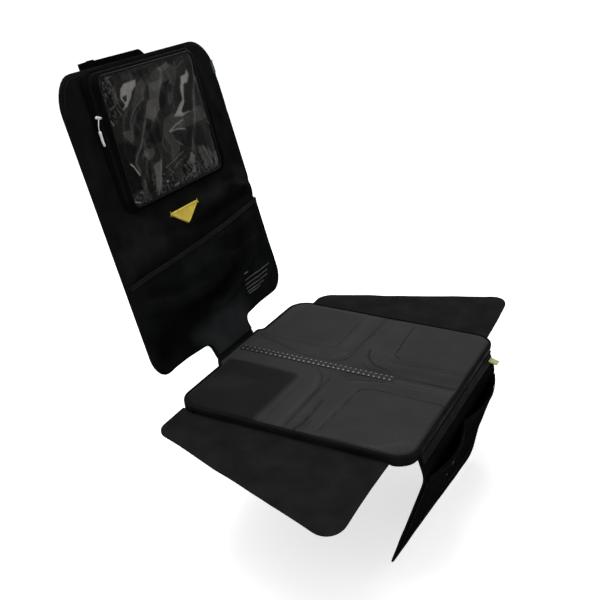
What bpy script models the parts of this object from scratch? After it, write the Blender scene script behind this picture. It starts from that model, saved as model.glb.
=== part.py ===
"""Car seat protector: a padded seat panel with three flaps and a reclined back panel with pockets.

Metres. The origin is the middle of the seat panel's underside. +Z is up, +Y runs to the back of the
car seat and X runs across it.
"""

import math

import bmesh
import bpy
from mathutils import Vector

# Fit between sewn layers
gap = 0.0003

# Steps in a rounded corner, along a side of the clear pocket's frame and up its wall
arc_steps = 6
side_steps = 10
wall_steps = 4

# Seat panel
seat_width = 0.480
seat_depth = 0.445
seat_back_radius = 0.042
seat_front_radius = 0.038
seat_shoulder = 0.010
padding_thickness = 0.0100
cover_thickness = 0.0012
binding_thickness = 0.0012
binding_top_lip = 0.0040
binding_under_lip = 0.0120

# Quilted quarters of the seat panel
channel_half = 0.016
channel_front_half = 0.007
channel_flare_half = 0.060
channel_flare_length = 0.128
cross_channel = 0.026
cross_place = 0.232
quarter_thickness = 0.0018
quarter_corner = 0.034
field_thickness = 0.0014
field_margin_across = 0.041
field_margin_along = 0.040
field_corner = 0.022
quarter_edge = 0.0016
quarter_bevel = 0.0007
field_bevel = 0.0006

# Ribbed grip strip on the centre line
grip_start = 0.010
grip_length = 0.314
grip_width = 0.0175
grip_base = 0.0008
rib_count = 31
rib_height = 0.0022
rib_foot = 0.0056
rib_crown = 0.0030

# Back panel
back_width = 0.482
back_height = 0.569
back_thickness = 0.0100
back_top_radius = 0.062
back_recline = math.radians(17.6)
ear_height = 0.031
ear_radius = 0.045
neck_half = 0.066
neck_fillet = 0.014
neck_tuck = 0.0100
tongue_reach = 0.0148
tongue_length = 0.085
tongue_spread = 0.080
tongue_ease = 0.0009
tongue_cut_across = 0.014
tongue_cut_up = 0.010
curl_start = 0.172
curl_rise = 0.010
curl_cut = 0.018

# Open pocket on the lower half of the back panel
pocket_cloth = 0.0012
pocket_margin = 0.002
pocket_start = 0.006
mouth_height = 0.222
mouth_tilt = 0.050
pocket_gape = 0.019
pocket_hug = 0.060
hem_height = 0.009
pocket_cut_across = 0.030
pocket_cut_up = 0.022

# Clear zipped pocket on the upper half of the back panel
window_width = 0.296
window_low = 0.320
window_high = 0.553
window_radius = 0.016
window_depth_low = 0.004
window_depth_high = 0.017
gusset_flare = 0.022
gusset_top_flare = 0.008
gusset_low_flare = 0.004
gusset_radius = 0.026
gusset_thickness = 0.0012
film_thickness = 0.0005
film_wrinkle = 0.0011
film_cut_across = 0.0125
film_cut_up = 0.0200
fold_waves = 95.0
fold_slant = 26.0
fold_share = 0.6
fold_swell = 1.6
piping_width = 0.0042
piping_height = 0.0020
piping_side = 0.0012
piping_crown = 0.0013

# Zip of the clear pocket
chain_width = 0.0052
chain_thickness = 0.0014
slider_height_on_panel = 0.480
slider_length = 0.0100
slider_width = 0.0120
slider_plate = 0.0020
slider_taper = 0.0014
slider_corner = 0.0018
slider_lift = 0.0006
bridge_length = 0.0074
bridge_height = 0.0042
bridge_width = 0.0022
bridge_bar = 0.0011
pull_cord_radius = 0.0008
pull_cord_length = 0.0275
pull_cord_taper = 0.6
pull_end_length = 0.0300
pull_end_radius = 0.0032
pull_end_tip_radius = 0.0024
pull_end_nose = 0.0015
pull_end_flatness = 0.8
pull_end_sides = 12

# Labels
badge_width = 0.104
badge_height = 0.033
badge_across = -0.007
badge_top = 0.285
badge_radius = 0.007
badge_thickness = 0.0020
badge_bevel = 0.0007
tag_width = 0.011
tag_length = 0.024
tag_top = 0.521
tag_thickness = 0.0008

# Headrest strap behind the top edge
strap_cloth = 0.0020
strap_half = 0.100
strap_drop = 0.050
strap_rise = 0.013
strap_back = 0.042
strap_sink = 0.016
strap_sink_start = 0.082
strap_sink_run = 0.022
strap_tab = 0.022
strap_bend = 0.006

# Front band, flap and its pockets
band_half = 0.200
band_thickness = 0.0014
band_drop = 0.017
band_radius = 0.004
flap_cloth = 0.0022
front_half = 0.206
front_bottom_half = 0.212
front_length = 0.245
front_slant = 0.010
front_radius = 0.024
front_start = math.radians(21.0)
front_lean = math.radians(12.8)
front_twist = math.radians(2.9)
front_roll = 0.034
front_strides = 60
cell_count = 2
cell_cuts = 8
cell_fullness = 0.8
front_pocket_top = 0.042
front_pocket_bottom = 0.214
front_pocket_half = 0.194
front_pocket_gape = 0.017
front_pocket_cloth = 0.0012
front_ease = 0.0003
front_hem_height = 0.007
front_cut = 0.0085
front_pocket_cut = 0.024
tab_width = 0.014
tab_reach = 0.022
tab_thickness = 0.0012
tab_across = 0.188

# Side flaps
side_root = 0.011
side_back_width = 0.074
side_front_width = 0.202
side_back_start = 0.0265
side_front_end = 0.028
side_front_slant = 0.004
side_back_radius = 0.034
side_front_radius = 0.032
side_shift = 0.008
side_cut = 0.030
near_droop = 0.016
far_droop = -0.018

# Colour and roughness of the materials
black_cloth = ((0.022, 0.023, 0.025), 0.85)
dark_cloth = ((0.015, 0.016, 0.017), 0.80)
grey_cover = ((0.052, 0.054, 0.056), 0.62)
grey_field = ((0.040, 0.042, 0.044), 0.66)
sheen_band = ((0.050, 0.052, 0.054), 0.42)
rib_rubber = ((0.100, 0.105, 0.110), 0.22)
clear_film = ((0.100, 0.105, 0.110), 0.12)
piping_grey = ((0.015, 0.016, 0.017), 0.50)
chain_black = ((0.015, 0.016, 0.017), 0.45)
white_metal = ((0.780, 0.790, 0.790), 0.35)
white_plastic = ((0.780, 0.790, 0.790), 0.45)
yellow_badge = ((0.860, 0.620, 0.050), 0.45)
yellow_tab = ((0.860, 0.620, 0.050), 0.60)
tag_grey = ((0.220, 0.320, 0.340), 0.80)
film_clearness = 0.8

# Sizes that follow from the ones above
seat_half = seat_width / 2
front_edge = -seat_depth / 2
back_edge = seat_depth / 2
cover_low = padding_thickness + gap
cover_top = cover_low + cover_thickness
binding_top = cover_top + gap + binding_thickness
binding_low = 0.0
core_inset = binding_thickness + gap
rebate_inset = binding_under_lip + gap
rebate_top = binding_thickness + gap
back_half = back_width / 2
front_fold = binding_low - gap
front_tuck = (band_drop + gap + 2 * tab_thickness) / math.cos(front_start)
window_half = window_width / 2
piping_lift = film_wrinkle
chain_rise = (gap + chain_thickness) * math.sin(math.atan2(window_depth_high, gusset_flare))
slider_floor = chain_rise + slider_lift


def clear_scene():
    """Empty the starting scene."""
    for thing in list(bpy.data.objects):
        bpy.data.objects.remove(thing, do_unlink=True)


def make_material(name, stuff):
    """A plain material of one colour and roughness."""
    colour, roughness = stuff
    material = bpy.data.materials.new(name)
    material.use_nodes = True
    shader = material.node_tree.nodes["Principled BSDF"]
    shader.inputs["Base Color"].default_value = (*colour, 1.0)
    shader.inputs["Roughness"].default_value = roughness
    return material


def finish(name, bm, stuff):
    """Close a shape into a named object with its own material."""
    bm.normal_update()
    bmesh.ops.triangulate(bm, faces=bm.faces[:])
    bmesh.ops.recalc_face_normals(bm, faces=bm.faces[:])
    mesh = bpy.data.meshes.new(name)
    bm.to_mesh(mesh)
    bm.free()
    thing = bpy.data.objects.new(name, mesh)
    bpy.context.scene.collection.objects.link(thing)
    mesh.materials.append(make_material(name, stuff))
    return thing


def cross(a, b):
    """Flat cross product."""
    return a.x * b.y - a.y * b.x


def rounded(corners, inset=0.0):
    """Points of a closed outline, given anticlockwise as (x, y, radius), moved inwards by inset."""
    lines = []
    for start, end in zip(corners, corners[1:] + corners[:1]):
        along = (Vector(end[:2]) - Vector(start[:2])).normalized()
        inward = Vector((-along.y, along.x))
        lines.append((Vector(start[:2]) + inward * inset, along))
    points = []
    for i, (base, after) in enumerate(lines):
        start, before = lines[i - 1]
        turn = cross(before, after)
        corner = start + before * (cross(base - start, after) / turn)
        if corners[i][2] == 0.0:
            points.append(tuple(corner))
            continue
        side = math.copysign(1.0, turn)
        radius = max(corners[i][2] - side * inset, gap)
        angle = math.atan2(turn, before.dot(after))
        first = corner - before * radius * math.tan(abs(angle) / 2)
        centre = first + Vector((-before.y, before.x)) * radius * side
        spoke = first - centre
        for k in range(arc_steps + 1):
            swing = angle * k / arc_steps
            x = spoke.x * math.cos(swing) - spoke.y * math.sin(swing)
            y = spoke.x * math.sin(swing) + spoke.y * math.cos(swing)
            points.append((centre.x + x, centre.y + y))
    return points


def box_corners(left, low, right, high, radius):
    """Corners of a rectangle with one radius, anticlockwise."""
    return [(left, low, radius), (right, low, radius), (right, high, radius), (left, high, radius)]


def spread(low, high, step):
    """Evenly spaced values strictly between low and high, at most a step apart."""
    count = max(1, math.ceil((high - low) / step))
    return [low + (high - low) * k / count for k in range(1, count)]


def slab(name, outline, place, low, high, stuff, across=(), along=()):
    """A cloth layer: an outline between the offsets low(u, v) and high(u, v) of a surface.

    The flat outline is cut along the values across and along, so that it can follow a bent surface.
    """
    bm = bmesh.new()
    bm.faces.new([bm.verts.new((u, v, 0.0)) for u, v in outline])
    bm.normal_update()
    for axis, values in (((1, 0, 0), across), ((0, 1, 0), along)):
        for value in values:
            point = Vector(axis) * value
            everything = bm.verts[:] + bm.edges[:] + bm.faces[:]
            bmesh.ops.bisect_plane(bm, geom=everything, dist=1e-6, plane_co=point, plane_no=axis)
    bm.normal_update()
    bmesh.ops.triangulate(bm, faces=bm.faces[:])
    raised = bmesh.ops.extrude_face_region(bm, geom=bm.faces[:], use_keep_orig=True)
    upper = {item for item in raised["geom"] if isinstance(item, bmesh.types.BMVert)}
    for vert in bm.verts:
        u, v = vert.co.x, vert.co.y
        offset = high(u, v) if vert in upper else low(u, v)
        vert.co = place(u, v, offset)
    return finish(name, bm, stuff)


def flat(value):
    """A constant offset."""
    return lambda u, v: value


def skin(bm, loops, closed):
    """Join loops of equal length into a tube of faces; a closed skin joins its last loop to its first."""
    rows = [[bm.verts.new(point) for point in loop] for loop in loops]
    pairs = list(zip(rows, rows[1:]))
    if closed:
        pairs.append((rows[-1], rows[0]))
    for one, other in pairs:
        for i in range(len(one)):
            j = (i + 1) % len(one)
            bm.faces.new((one[i], one[j], other[j], other[i]))
    if not closed:
        bm.faces.new(rows[0])
        bm.faces.new(rows[-1])


def ring(name, loops, stuff):
    """A closed rim: its section's corners each run round one of the loops."""
    bm = bmesh.new()
    skin(bm, loops, True)
    return finish(name, bm, stuff)


def bevelled(thing, width):
    """Break the sharp edges of a finished solid."""
    bm = bmesh.new()
    bm.from_mesh(thing.data)
    bmesh.ops.dissolve_limit(bm, angle_limit=math.radians(1.0), verts=bm.verts[:], edges=bm.edges[:])
    sharp = [edge for edge in bm.edges if edge.calc_face_angle(0.0) > math.radians(60.0)]
    bmesh.ops.bevel(bm, geom=sharp, offset=width, segments=1, affect="EDGES")
    bmesh.ops.triangulate(bm, faces=bm.faces[:])
    bmesh.ops.recalc_face_normals(bm, faces=bm.faces[:])
    bm.to_mesh(thing.data)
    bm.free()


def smooth(value):
    """Ease from 0 to 1."""
    value = min(max(value, 0.0), 1.0)
    return value * value * (3.0 - 2.0 * value)


def seat_corners():
    """Outer outline of the seat panel, with its shoulders set back beside the neck."""
    shoulder = back_edge - seat_shoulder
    return [
        (-seat_half, front_edge, seat_front_radius),
        (seat_half, front_edge, seat_front_radius),
        (seat_half, shoulder, seat_back_radius),
        (neck_half + 2 * seat_shoulder, shoulder, seat_shoulder),
        (neck_half + seat_shoulder, back_edge, seat_shoulder),
        (-neck_half - seat_shoulder, back_edge, seat_shoulder),
        (-neck_half - 2 * seat_shoulder, shoulder, seat_shoulder),
        (-seat_half, shoulder, seat_back_radius),
    ]


def seat_place(x, y, z):
    """The seat panel is flat."""
    return Vector((x, y, z))


def build_padding():
    """The padding, pressed in round its underside where the binding folds under it."""
    levels = [
        (rebate_inset, 0.0),
        (rebate_inset, rebate_top),
        (core_inset, rebate_top),
        (core_inset, padding_thickness),
    ]
    bm = bmesh.new()
    loops = []
    for inset, z in levels:
        loops.append([seat_place(x, y, z) for x, y in rounded(seat_corners(), inset)])
    skin(bm, loops, False)
    finish("seat_padding", bm, dark_cloth)


def build_seat_panel():
    """Padding, cover and edge binding."""
    build_padding()
    core = rounded(seat_corners(), core_inset)
    slab("seat_cover", core, seat_place, flat(cover_low), flat(cover_top), grey_cover)
    section = [
        (0.0, binding_low),
        (0.0, binding_top),
        (binding_top_lip, binding_top),
        (binding_top_lip, binding_top - binding_thickness),
        (binding_thickness, binding_top - binding_thickness),
        (binding_thickness, binding_low + binding_thickness),
        (binding_under_lip, binding_low + binding_thickness),
        (binding_under_lip, binding_low),
    ]
    loops = []
    for inset, z in section:
        loops.append([seat_place(x, y, z) for x, y in rounded(seat_corners(), inset)])
    ring("seat_binding", loops, black_cloth)


def quarter_corners(side, front):
    """Outline of a quilted quarter: side is -1 or 1, front tells the front pair from the back pair."""
    rim = binding_top_lip + gap + quarter_edge
    outer = seat_half - rim
    if front:
        near = back_edge - cross_place - cross_channel / 2
        far = front_edge + rim
        corners = [
            (outer, far, seat_front_radius - rim),
            (outer, near, 0.0),
            (channel_half, near, quarter_corner),
            (channel_front_half, far, 0.0),
        ]
    else:
        near = back_edge - cross_place + cross_channel / 2
        far = back_edge - seat_shoulder - rim
        corners = [
            (outer, near, 0.0),
            (outer, far, seat_back_radius - rim),
            (channel_flare_half, far, 0.0),
            (channel_half, back_edge - channel_flare_length, channel_flare_half),
            (channel_half, near, quarter_corner),
        ]
    if side < 0:
        corners = [(-x, y, radius) for x, y, radius in reversed(corners)]
    return corners


def field_corners(side, front):
    """Outline of the smooth field on a quarter, kept back from the two channels."""
    rim = binding_top_lip + gap + 2 * quarter_edge + gap
    outer = seat_half - rim
    inner = channel_half + field_margin_across
    if front:
        near = back_edge - cross_place - cross_channel / 2 - field_margin_along
        far = front_edge + rim
        corners = [
            (outer, far, seat_front_radius - rim),
            (outer, near, 0.0),
            (inner, near, field_corner),
            (inner, far, 0.0),
        ]
    else:
        near = back_edge - cross_place + cross_channel / 2 + field_margin_along
        far = back_edge - seat_shoulder - rim
        corners = [
            (outer, near, 0.0),
            (outer, far, seat_back_radius - rim),
            (max(inner, channel_flare_half + quarter_edge), far, 0.0),
            (inner, near, field_corner),
        ]
    if side < 0:
        corners = [(-x, y, radius) for x, y, radius in reversed(corners)]
    return corners


def build_quarters():
    """Four raised quarters, each with a second raised field."""
    low = cover_top + gap
    top = low + quarter_thickness
    for side, side_name in ((-1, "near"), (1, "far")):
        for front, end_name in ((True, "front"), (False, "back")):
            outline = rounded(quarter_corners(side, front))
            name = f"quarter_{end_name}_{side_name}"
            quarter = slab(name, outline, seat_place, flat(low), flat(top), grey_cover)
            bevelled(quarter, quarter_bevel)
            outline = rounded(field_corners(side, front))
            name = f"field_{end_name}_{side_name}"
            field_low = top + gap
            field_top = field_low + field_thickness
            field = slab(name, outline, seat_place, flat(field_low), flat(field_top), grey_field)
            bevelled(field, field_bevel)


def build_grip_strip():
    """A moulded strip with cross ribs along the centre line."""
    low = cover_top + gap
    pitch = grip_length / rib_count
    start = back_edge - grip_start
    profile = [(start, low)]
    for k in range(rib_count):
        middle = start - pitch * (k + 0.5)
        profile.append((middle + rib_foot / 2, low + grip_base))
        profile.append((middle + rib_crown / 2, low + rib_height))
        profile.append((middle - rib_crown / 2, low + rib_height))
        profile.append((middle - rib_foot / 2, low + grip_base))
    profile.append((start - grip_length, low + grip_base))
    profile.append((start - grip_length, low))
    profile.insert(1, (start, low + grip_base))
    bm = bmesh.new()
    loops = [[Vector((x, y, z)) for y, z in profile] for x in (-grip_width / 2, grip_width / 2)]
    skin(bm, loops, False)
    finish("grip_strip", bm, rib_rubber)


def edge_curl(u):
    """How far the back panel's near edge curls forward."""
    return curl_rise * smooth((-u - curl_start) / (back_half - curl_start))


def back_place(u, h, w):
    """A point at u across, h up the back panel from the seam and w in front of its face."""
    up = Vector((0.0, math.sin(back_recline), math.cos(back_recline)))
    out = Vector((0.0, -math.cos(back_recline), math.sin(back_recline)))
    root = Vector((u, back_edge + gap + tongue_reach, binding_top))
    if h < 0.0:
        return root + Vector((0.0, -tongue_reach, h)) + out * w
    fade = 1.0 - smooth((abs(u) - neck_half) / tongue_spread)
    pull = tongue_reach * max(0.0, 1.0 - h / tongue_length) ** 2 * fade
    return root + up * h + out * (w + edge_curl(u)) - Vector((0.0, pull, 0.0))


def back_corners(seam, top_left, top_right, top_radius):
    """Outline of the back panel from a seam height up to a top edge."""
    return [
        (-neck_half, seam, 0.0),
        (neck_half, seam, 0.0),
        (neck_half, ear_height, neck_fillet),
        (back_half, ear_height, ear_radius),
        (back_half, top_right, top_radius),
        (-back_half, top_left, top_radius),
        (-back_half, ear_height, ear_radius),
        (-neck_half, ear_height, neck_fillet),
    ]


def cuts_across():
    """Where cloth on the back panel is cut to follow the tongue, the pocket and the near edge's curl."""
    bend_end = neck_half + tongue_spread
    bend = [neck_half] + spread(neck_half, bend_end, tongue_cut_across) + [bend_end]
    across = bend + [-u for u in bend]
    across += spread(-neck_half, neck_half, pocket_cut_across)
    across += spread(bend_end, back_half, pocket_cut_across)
    across += spread(-curl_start, -bend_end, pocket_cut_across)
    return across + [-curl_start] + spread(-back_half, -curl_start, curl_cut)


def cuts_up():
    """Where cloth on the back panel is cut to follow the bend of the tongue."""
    return [0.0] + spread(0.0, tongue_length, tongue_cut_up) + [tongue_length]


def build_back_panel():
    """The padded back panel with its ears and its tongue."""
    outline = rounded(back_corners(-neck_tuck, back_height, back_height, back_top_radius))
    low, high = flat(-back_thickness), flat(0.0)
    slab("back_panel", outline, back_place, low, high, black_cloth, cuts_across(), cuts_up())


def mouth(u):
    """Height of the open pocket's mouth."""
    return mouth_height + mouth_tilt * u


def pocket_stand(u, h):
    """How far the open pocket's cloth stands off the panel, loosely where the tongue bends."""
    ease = tongue_ease * (1.0 - smooth((h - tongue_length) / pocket_hug))
    across = max(0.0, math.cos(math.pi / 2 * u / (back_half - pocket_margin)))
    rise = smooth((h - pocket_hug) / (mouth(u) - pocket_hug))
    return gap + ease + pocket_gape * across * rise


def build_open_pocket():
    """Cloth of the open pocket and the folded hem along its mouth."""
    corners = back_corners(pocket_start - pocket_margin, mouth(-back_half), mouth(back_half), 0.0)
    outline = rounded(corners, pocket_margin)
    along = cuts_up() + spread(tongue_length, mouth_height, pocket_cut_up)

    def outer(u, h):
        return pocket_stand(u, h) + pocket_cloth

    def hem_low(u, h):
        return outer(u, h) + gap

    def hem_high(u, h):
        return hem_low(u, h) + pocket_cloth

    slab("open_pocket", outline, back_place, pocket_stand, outer, black_cloth, cuts_across(), along)
    right = back_half - 3 * pocket_margin
    left = -right
    top = -pocket_margin
    hem = [
        (left, mouth(left) + top - hem_height),
        (right, mouth(right) + top - hem_height),
        (right, mouth(right) + top),
        (left, mouth(left) + top),
    ]
    across = [u for u in cuts_across() if left < u < right]
    slab("open_pocket_hem", hem, back_place, hem_low, hem_high, dark_cloth, across)


def window_depth(h):
    """How far the clear pocket's front stands off the panel: deep at the top, shallow below."""
    share = (h - window_low) / (window_high - window_low)
    return window_depth_low + (window_depth_high - window_depth_low) * share


def frame_points(corners, inset):
    """Outline of a box with round corners, its four sides cut into equal steps."""
    arcs = rounded(corners, inset)
    per_corner = arc_steps + 1
    points = []
    for i in range(4):
        arc = arcs[i * per_corner:(i + 1) * per_corner]
        start, end = Vector(arc[-1]), Vector(arcs[(i + 1) * per_corner % len(arcs)])
        points += arc
        points += [tuple(start.lerp(end, k / side_steps)) for k in range(1, side_steps)]
    return points


def gusset_loop(share, outset):
    """A loop round the gusset wall: share 0 lies on the panel and 1 on the front rim."""
    base = box_corners(
        -window_half - gusset_flare,
        window_low - gusset_low_flare,
        window_half + gusset_flare,
        window_high + gusset_top_flare,
        gusset_radius,
    )
    rim = box_corners(-window_half, window_low, window_half, window_high, window_radius)
    loop = []
    for (u0, h0), (u1, h1) in zip(frame_points(base, -outset), frame_points(rim, -outset)):
        u, h = u0 + (u1 - u0) * share, h0 + (h1 - h0) * share
        loop.append(back_place(u, h, gap + (window_depth(h) - gap) * share))
    return loop


def build_gusset():
    """The sloping wall between the panel and the clear front."""
    shares = [k / wall_steps for k in range(wall_steps + 1)]
    loops = [gusset_loop(share, 0.0) for share in shares]
    loops += [gusset_loop(share, -gusset_thickness) for share in reversed(shares)]
    ring("window_gusset", loops, dark_cloth)


def film_low(u, h):
    """Underside of the clear film, with shallow folds that die out at the rim."""
    reach_u = 1.0 - (abs(u) / window_half) ** 4
    middle = (window_low + window_high) / 2
    reach_h = 1.0 - (abs(h - middle) / (window_high - middle)) ** 4
    fold = math.sin(fold_waves * u + fold_slant * h)
    fold += fold_share * math.sin(fold_waves / 2 * u - 2 * fold_slant * h)
    return window_depth(h) + gap + film_wrinkle * max(0.0, reach_u * reach_h) * (fold_swell + fold)


def film_high(u, h):
    """Front face of the clear film."""
    return film_low(u, h) + film_thickness


def build_window():
    """The clear film and the piping round its edge."""
    rim = box_corners(-window_half, window_low, window_half, window_high, window_radius)
    across = spread(-window_half, window_half, film_cut_across)
    along = spread(window_low, window_high, film_cut_up)
    outline = rounded(rim)
    film = slab("window_film", outline, back_place, film_low, film_high, clear_film, across, along)
    shader = film.data.materials[0].node_tree.nodes["Principled BSDF"]
    shader.inputs["Transmission Weight"].default_value = film_clearness
    section = [
        (0.0, 0.0),
        (0.0, piping_side),
        (piping_crown, piping_height),
        (piping_width - piping_crown, piping_height),
        (piping_width, piping_side),
        (piping_width, piping_lift),
    ]
    loops = []
    for inset, rise in section:
        stand = film_thickness + 2 * gap + rise
        loops.append([back_place(u, h, window_depth(h) + stand) for u, h in rounded(rim, inset)])
    ring("window_piping", loops, piping_grey)


def chain_run():
    """Lower and upper ends of the zip's straight run on the near side, at the middle of the wall."""
    loop = gusset_loop(0.5, 0.0)
    return loop[0], loop[3 * (arc_steps + side_steps) + arc_steps]


def zip_frame():
    """Axes on the near side of the gusset: along the chain, out of the wall and across the chain."""
    lower, upper = chain_run()
    along = (upper - lower).normalized()
    middle = -side_steps // 2
    slope = (gusset_loop(1.0, 0.0)[middle] - gusset_loop(0.0, 0.0)[middle]).normalized()
    out = along.cross(slope).normalized()
    if out.x > 0.0:
        out = -out
    return along, out, along.cross(out).normalized()


def build_chain():
    """The zip chain: from the lower near corner, up the near side and along the top edge."""
    slope_length = (gusset_loop(1.0, 0.0)[-1] - gusset_loop(0.0, 0.0)[-1]).length
    half = chain_width / 2 / slope_length
    corners = []
    face = gap + chain_thickness
    section = [(0.5 - half, gap), (0.5 - half, face), (0.5 + half, face), (0.5 + half, gap)]
    for share, outset in section:
        loop = gusset_loop(share, outset)
        corners.append(loop[2 * (arc_steps + side_steps):] + [loop[0]])
    bm = bmesh.new()
    skin(bm, [list(points) for points in zip(*corners)], False)
    finish("zip_chain", bm, chain_black)


def in_zip_frame(origin, along, out, across):
    """A function that turns distances along, out and across into a point."""
    return lambda a, o, s: origin + along * a + out * o + across * s


def slider_origin():
    """Where the slider stands on the outer face of the chain."""
    lower, upper = chain_run()
    low_height, high_height = window_low + gusset_radius, window_high - gusset_radius
    share = (slider_height_on_panel - low_height) / (high_height - low_height)
    return lower + (upper - lower) * share


def build_slider():
    """The slider plate with its bridge."""
    along, out, across = zip_frame()
    spot = in_zip_frame(slider_origin(), along, out, across)
    bm = bmesh.new()
    half, tail = slider_width / 2, slider_width / 2 - slider_taper
    plate = rounded(
        [
            (-slider_length / 2, -tail, slider_corner),
            (slider_length / 2, -half, slider_corner),
            (slider_length / 2, half, slider_corner),
            (-slider_length / 2, tail, slider_corner),
        ]
    )
    faces = (slider_floor, slider_floor + slider_plate)
    skin(bm, [[spot(a, o, s) for a, s in plate] for o in faces], False)
    slider = finish("zip_slider", bm, white_metal)
    foot = slider_floor + slider_plate / 2
    springing = slider_floor + slider_plate + bridge_bar / 2
    arch = [(bridge_length / 2, foot)]
    for k in range(2 * arc_steps + 1):
        swing = math.pi * k / (2 * arc_steps)
        rise = (bridge_height - bridge_bar / 2) * math.sin(swing)
        arch.append((bridge_length / 2 * math.cos(swing), springing + rise))
    arch.append((-bridge_length / 2, foot))
    arch.append((-bridge_length / 2 + bridge_bar, foot))
    for k in range(2 * arc_steps, -1, -1):
        swing = math.pi * k / (2 * arc_steps)
        reach = bridge_length / 2 - bridge_bar
        rise = (bridge_height - 1.5 * bridge_bar) * math.sin(swing)
        arch.append((reach * math.cos(swing), springing + rise))
    arch.append((bridge_length / 2 - bridge_bar, foot))
    bm = bmesh.new()
    skin(bm, [[spot(a, o, s) for a, o in arch] for s in (-bridge_width / 2, bridge_width / 2)], False)
    bridge = finish("zip_slider_bridge", bm, white_metal)
    bridge.hide_render = True
    bridge.display_type = "WIRE"
    union = slider.modifiers.new("bridge", "BOOLEAN")
    union.operation = "UNION"
    union.solver = "EXACT"
    union.object = bridge


def build_pull():
    """The cord loop through the slider's bridge and the moulded end that it hangs in."""
    along, out, across = zip_frame()
    spot = in_zip_frame(slider_origin(), along, out, across)
    height = slider_floor + slider_plate + (bridge_height - bridge_bar) / 2
    reach = bridge_width / 2 + pull_cord_radius + gap
    end_reach = pull_cord_radius + gap
    path = []
    strand = pull_cord_length - reach
    for a in (-pull_cord_length, -pull_cord_length * pull_cord_taper):
        path.append((a, -end_reach - (reach - end_reach) * (a + pull_cord_length) / strand))
    for k in range(2 * arc_steps + 1):
        swing = math.pi * k / (2 * arc_steps)
        path.append((reach * (math.sin(swing) - 1.0) + pull_cord_radius / 2, -reach * math.cos(swing)))
    for a in (-pull_cord_length * pull_cord_taper, -pull_cord_length):
        path.append((a, end_reach + (reach - end_reach) * (a + pull_cord_length) / strand))
    curve = bpy.data.curves.new("zip_pull_cord", "CURVE")
    curve.dimensions = "3D"
    curve.bevel_depth = pull_cord_radius
    curve.bevel_resolution = 2
    curve.use_fill_caps = True
    line = curve.splines.new("POLY")
    line.points.add(len(path) - 1)
    for point, (a, s) in zip(line.points, path):
        point.co = (*spot(a, height, s), 1.0)
    cord = bpy.data.objects.new("zip_pull_cord", curve)
    bpy.context.scene.collection.objects.link(cord)
    curve.materials.append(make_material("zip_pull_cord", white_plastic))
    turn = [2 * math.pi * k / pull_end_sides for k in range(pull_end_sides)]
    profile = [
        (0.0, pull_end_radius - pull_end_nose / 2),
        (pull_end_nose, pull_end_radius),
        (pull_end_length / 2, pull_end_radius - pull_end_nose / 4),
        (pull_end_length - pull_end_nose, pull_end_tip_radius),
        (pull_end_length, pull_end_tip_radius - pull_end_nose / 2),
    ]
    rows = []
    for a, radius in profile:
        start = -pull_cord_length - gap - a
        tall = radius * pull_end_flatness
        rows.append([spot(start, height + tall * math.sin(t), radius * math.cos(t)) for t in turn])
    bm = bmesh.new()
    skin(bm, rows, False)
    end = finish("zip_pull_end", bm, white_plastic)
    for polygon in end.data.polygons:
        polygon.use_smooth = True


def build_labels():
    """The bare three-cornered badge and the woven tag at the far edge."""
    left, right = badge_across - badge_width / 2, badge_across + badge_width / 2
    corners = [
        (badge_across, badge_top - badge_height, badge_radius),
        (right, badge_top, badge_radius / 2),
        (left, badge_top, badge_radius / 2),
    ]
    top = gap + badge_thickness
    badge = slab("badge", rounded(corners), back_place, flat(gap), flat(top), yellow_badge)
    bevelled(badge, badge_bevel)
    right = back_half - pocket_margin / 2
    tag = rounded(box_corners(right - tag_width, tag_top - tag_length, right, tag_top, 0.0))
    slab("edge_tag", tag, back_place, flat(gap), flat(gap + tag_thickness), tag_grey)


def bent_band(points, thickness, bend):
    """Outline of a band of one thickness along an open path with rounded bends."""
    path = [Vector(points[0])]
    for before, corner, after in zip(points, points[1:], points[2:]):
        a, c, b = Vector(before), Vector(corner), Vector(after)
        start = c + (a - c).normalized() * bend
        end = c + (b - c).normalized() * bend
        for k in range(arc_steps + 1):
            t = k / arc_steps
            path.append(start * (1 - t) ** 2 + c * 2 * t * (1 - t) + end * t ** 2)
    path.append(Vector(points[-1]))
    left, right = [], []
    for i, point in enumerate(path):
        along = (path[min(i + 1, len(path) - 1)] - path[max(i - 1, 0)]).normalized()
        side = Vector((-along.y, along.x)) * thickness / 2
        left.append(point + side)
        right.append(point - side)
    return left + right[::-1]


def build_headrest_strap():
    """The strap behind the top edge: its ends lie on the panel's back, the loop stands behind it.

    The far end sinks below the panel's top edge.
    """
    sewn = -back_thickness - gap - strap_cloth / 2
    behind = -back_thickness - strap_back
    points = [
        (-strap_half - strap_tab, sewn),
        (-strap_half, sewn),
        (-strap_half, behind),
        (strap_half, behind),
        (strap_half, sewn),
        (strap_half + strap_tab, sewn),
    ]
    outline = bent_band(points, strap_cloth, strap_bend)
    top = back_height + strap_rise
    bm = bmesh.new()
    loops = []
    for height in (top - strap_drop, top):
        loop = []
        for point in outline:
            sink = strap_sink * smooth((point.x - strap_sink_start) / strap_sink_run)
            loop.append(back_place(point.x, height - sink, point.y))
        loops.append(loop)
    skin(bm, loops, False)
    finish("headrest_strap", bm, black_cloth)


def start_reach(z):
    """How far forward the band and the flap behind it have leant at a height below the fold."""
    return max(0.0, front_fold - z) * math.tan(front_start)


def build_front_band():
    """The smooth band over the seat panel's front edge."""
    low = binding_low - band_drop
    top = binding_top - binding_thickness
    outline = rounded(box_corners(-band_half, low, band_half, top, band_radius))

    def place(u, z, w):
        return Vector((u, front_edge - w - start_reach(z), z))

    top = gap + band_thickness
    slab("front_band", outline, place, flat(gap), flat(top), sheen_band, (), [front_fold])


def front_angle(u, s):
    """How far the front flap leans forward, as an angle: it leans back more on the near side."""
    back = front_lean - front_twist * u / front_half
    return front_start - (front_start + back) * smooth((s - front_tuck) / front_roll)


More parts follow.
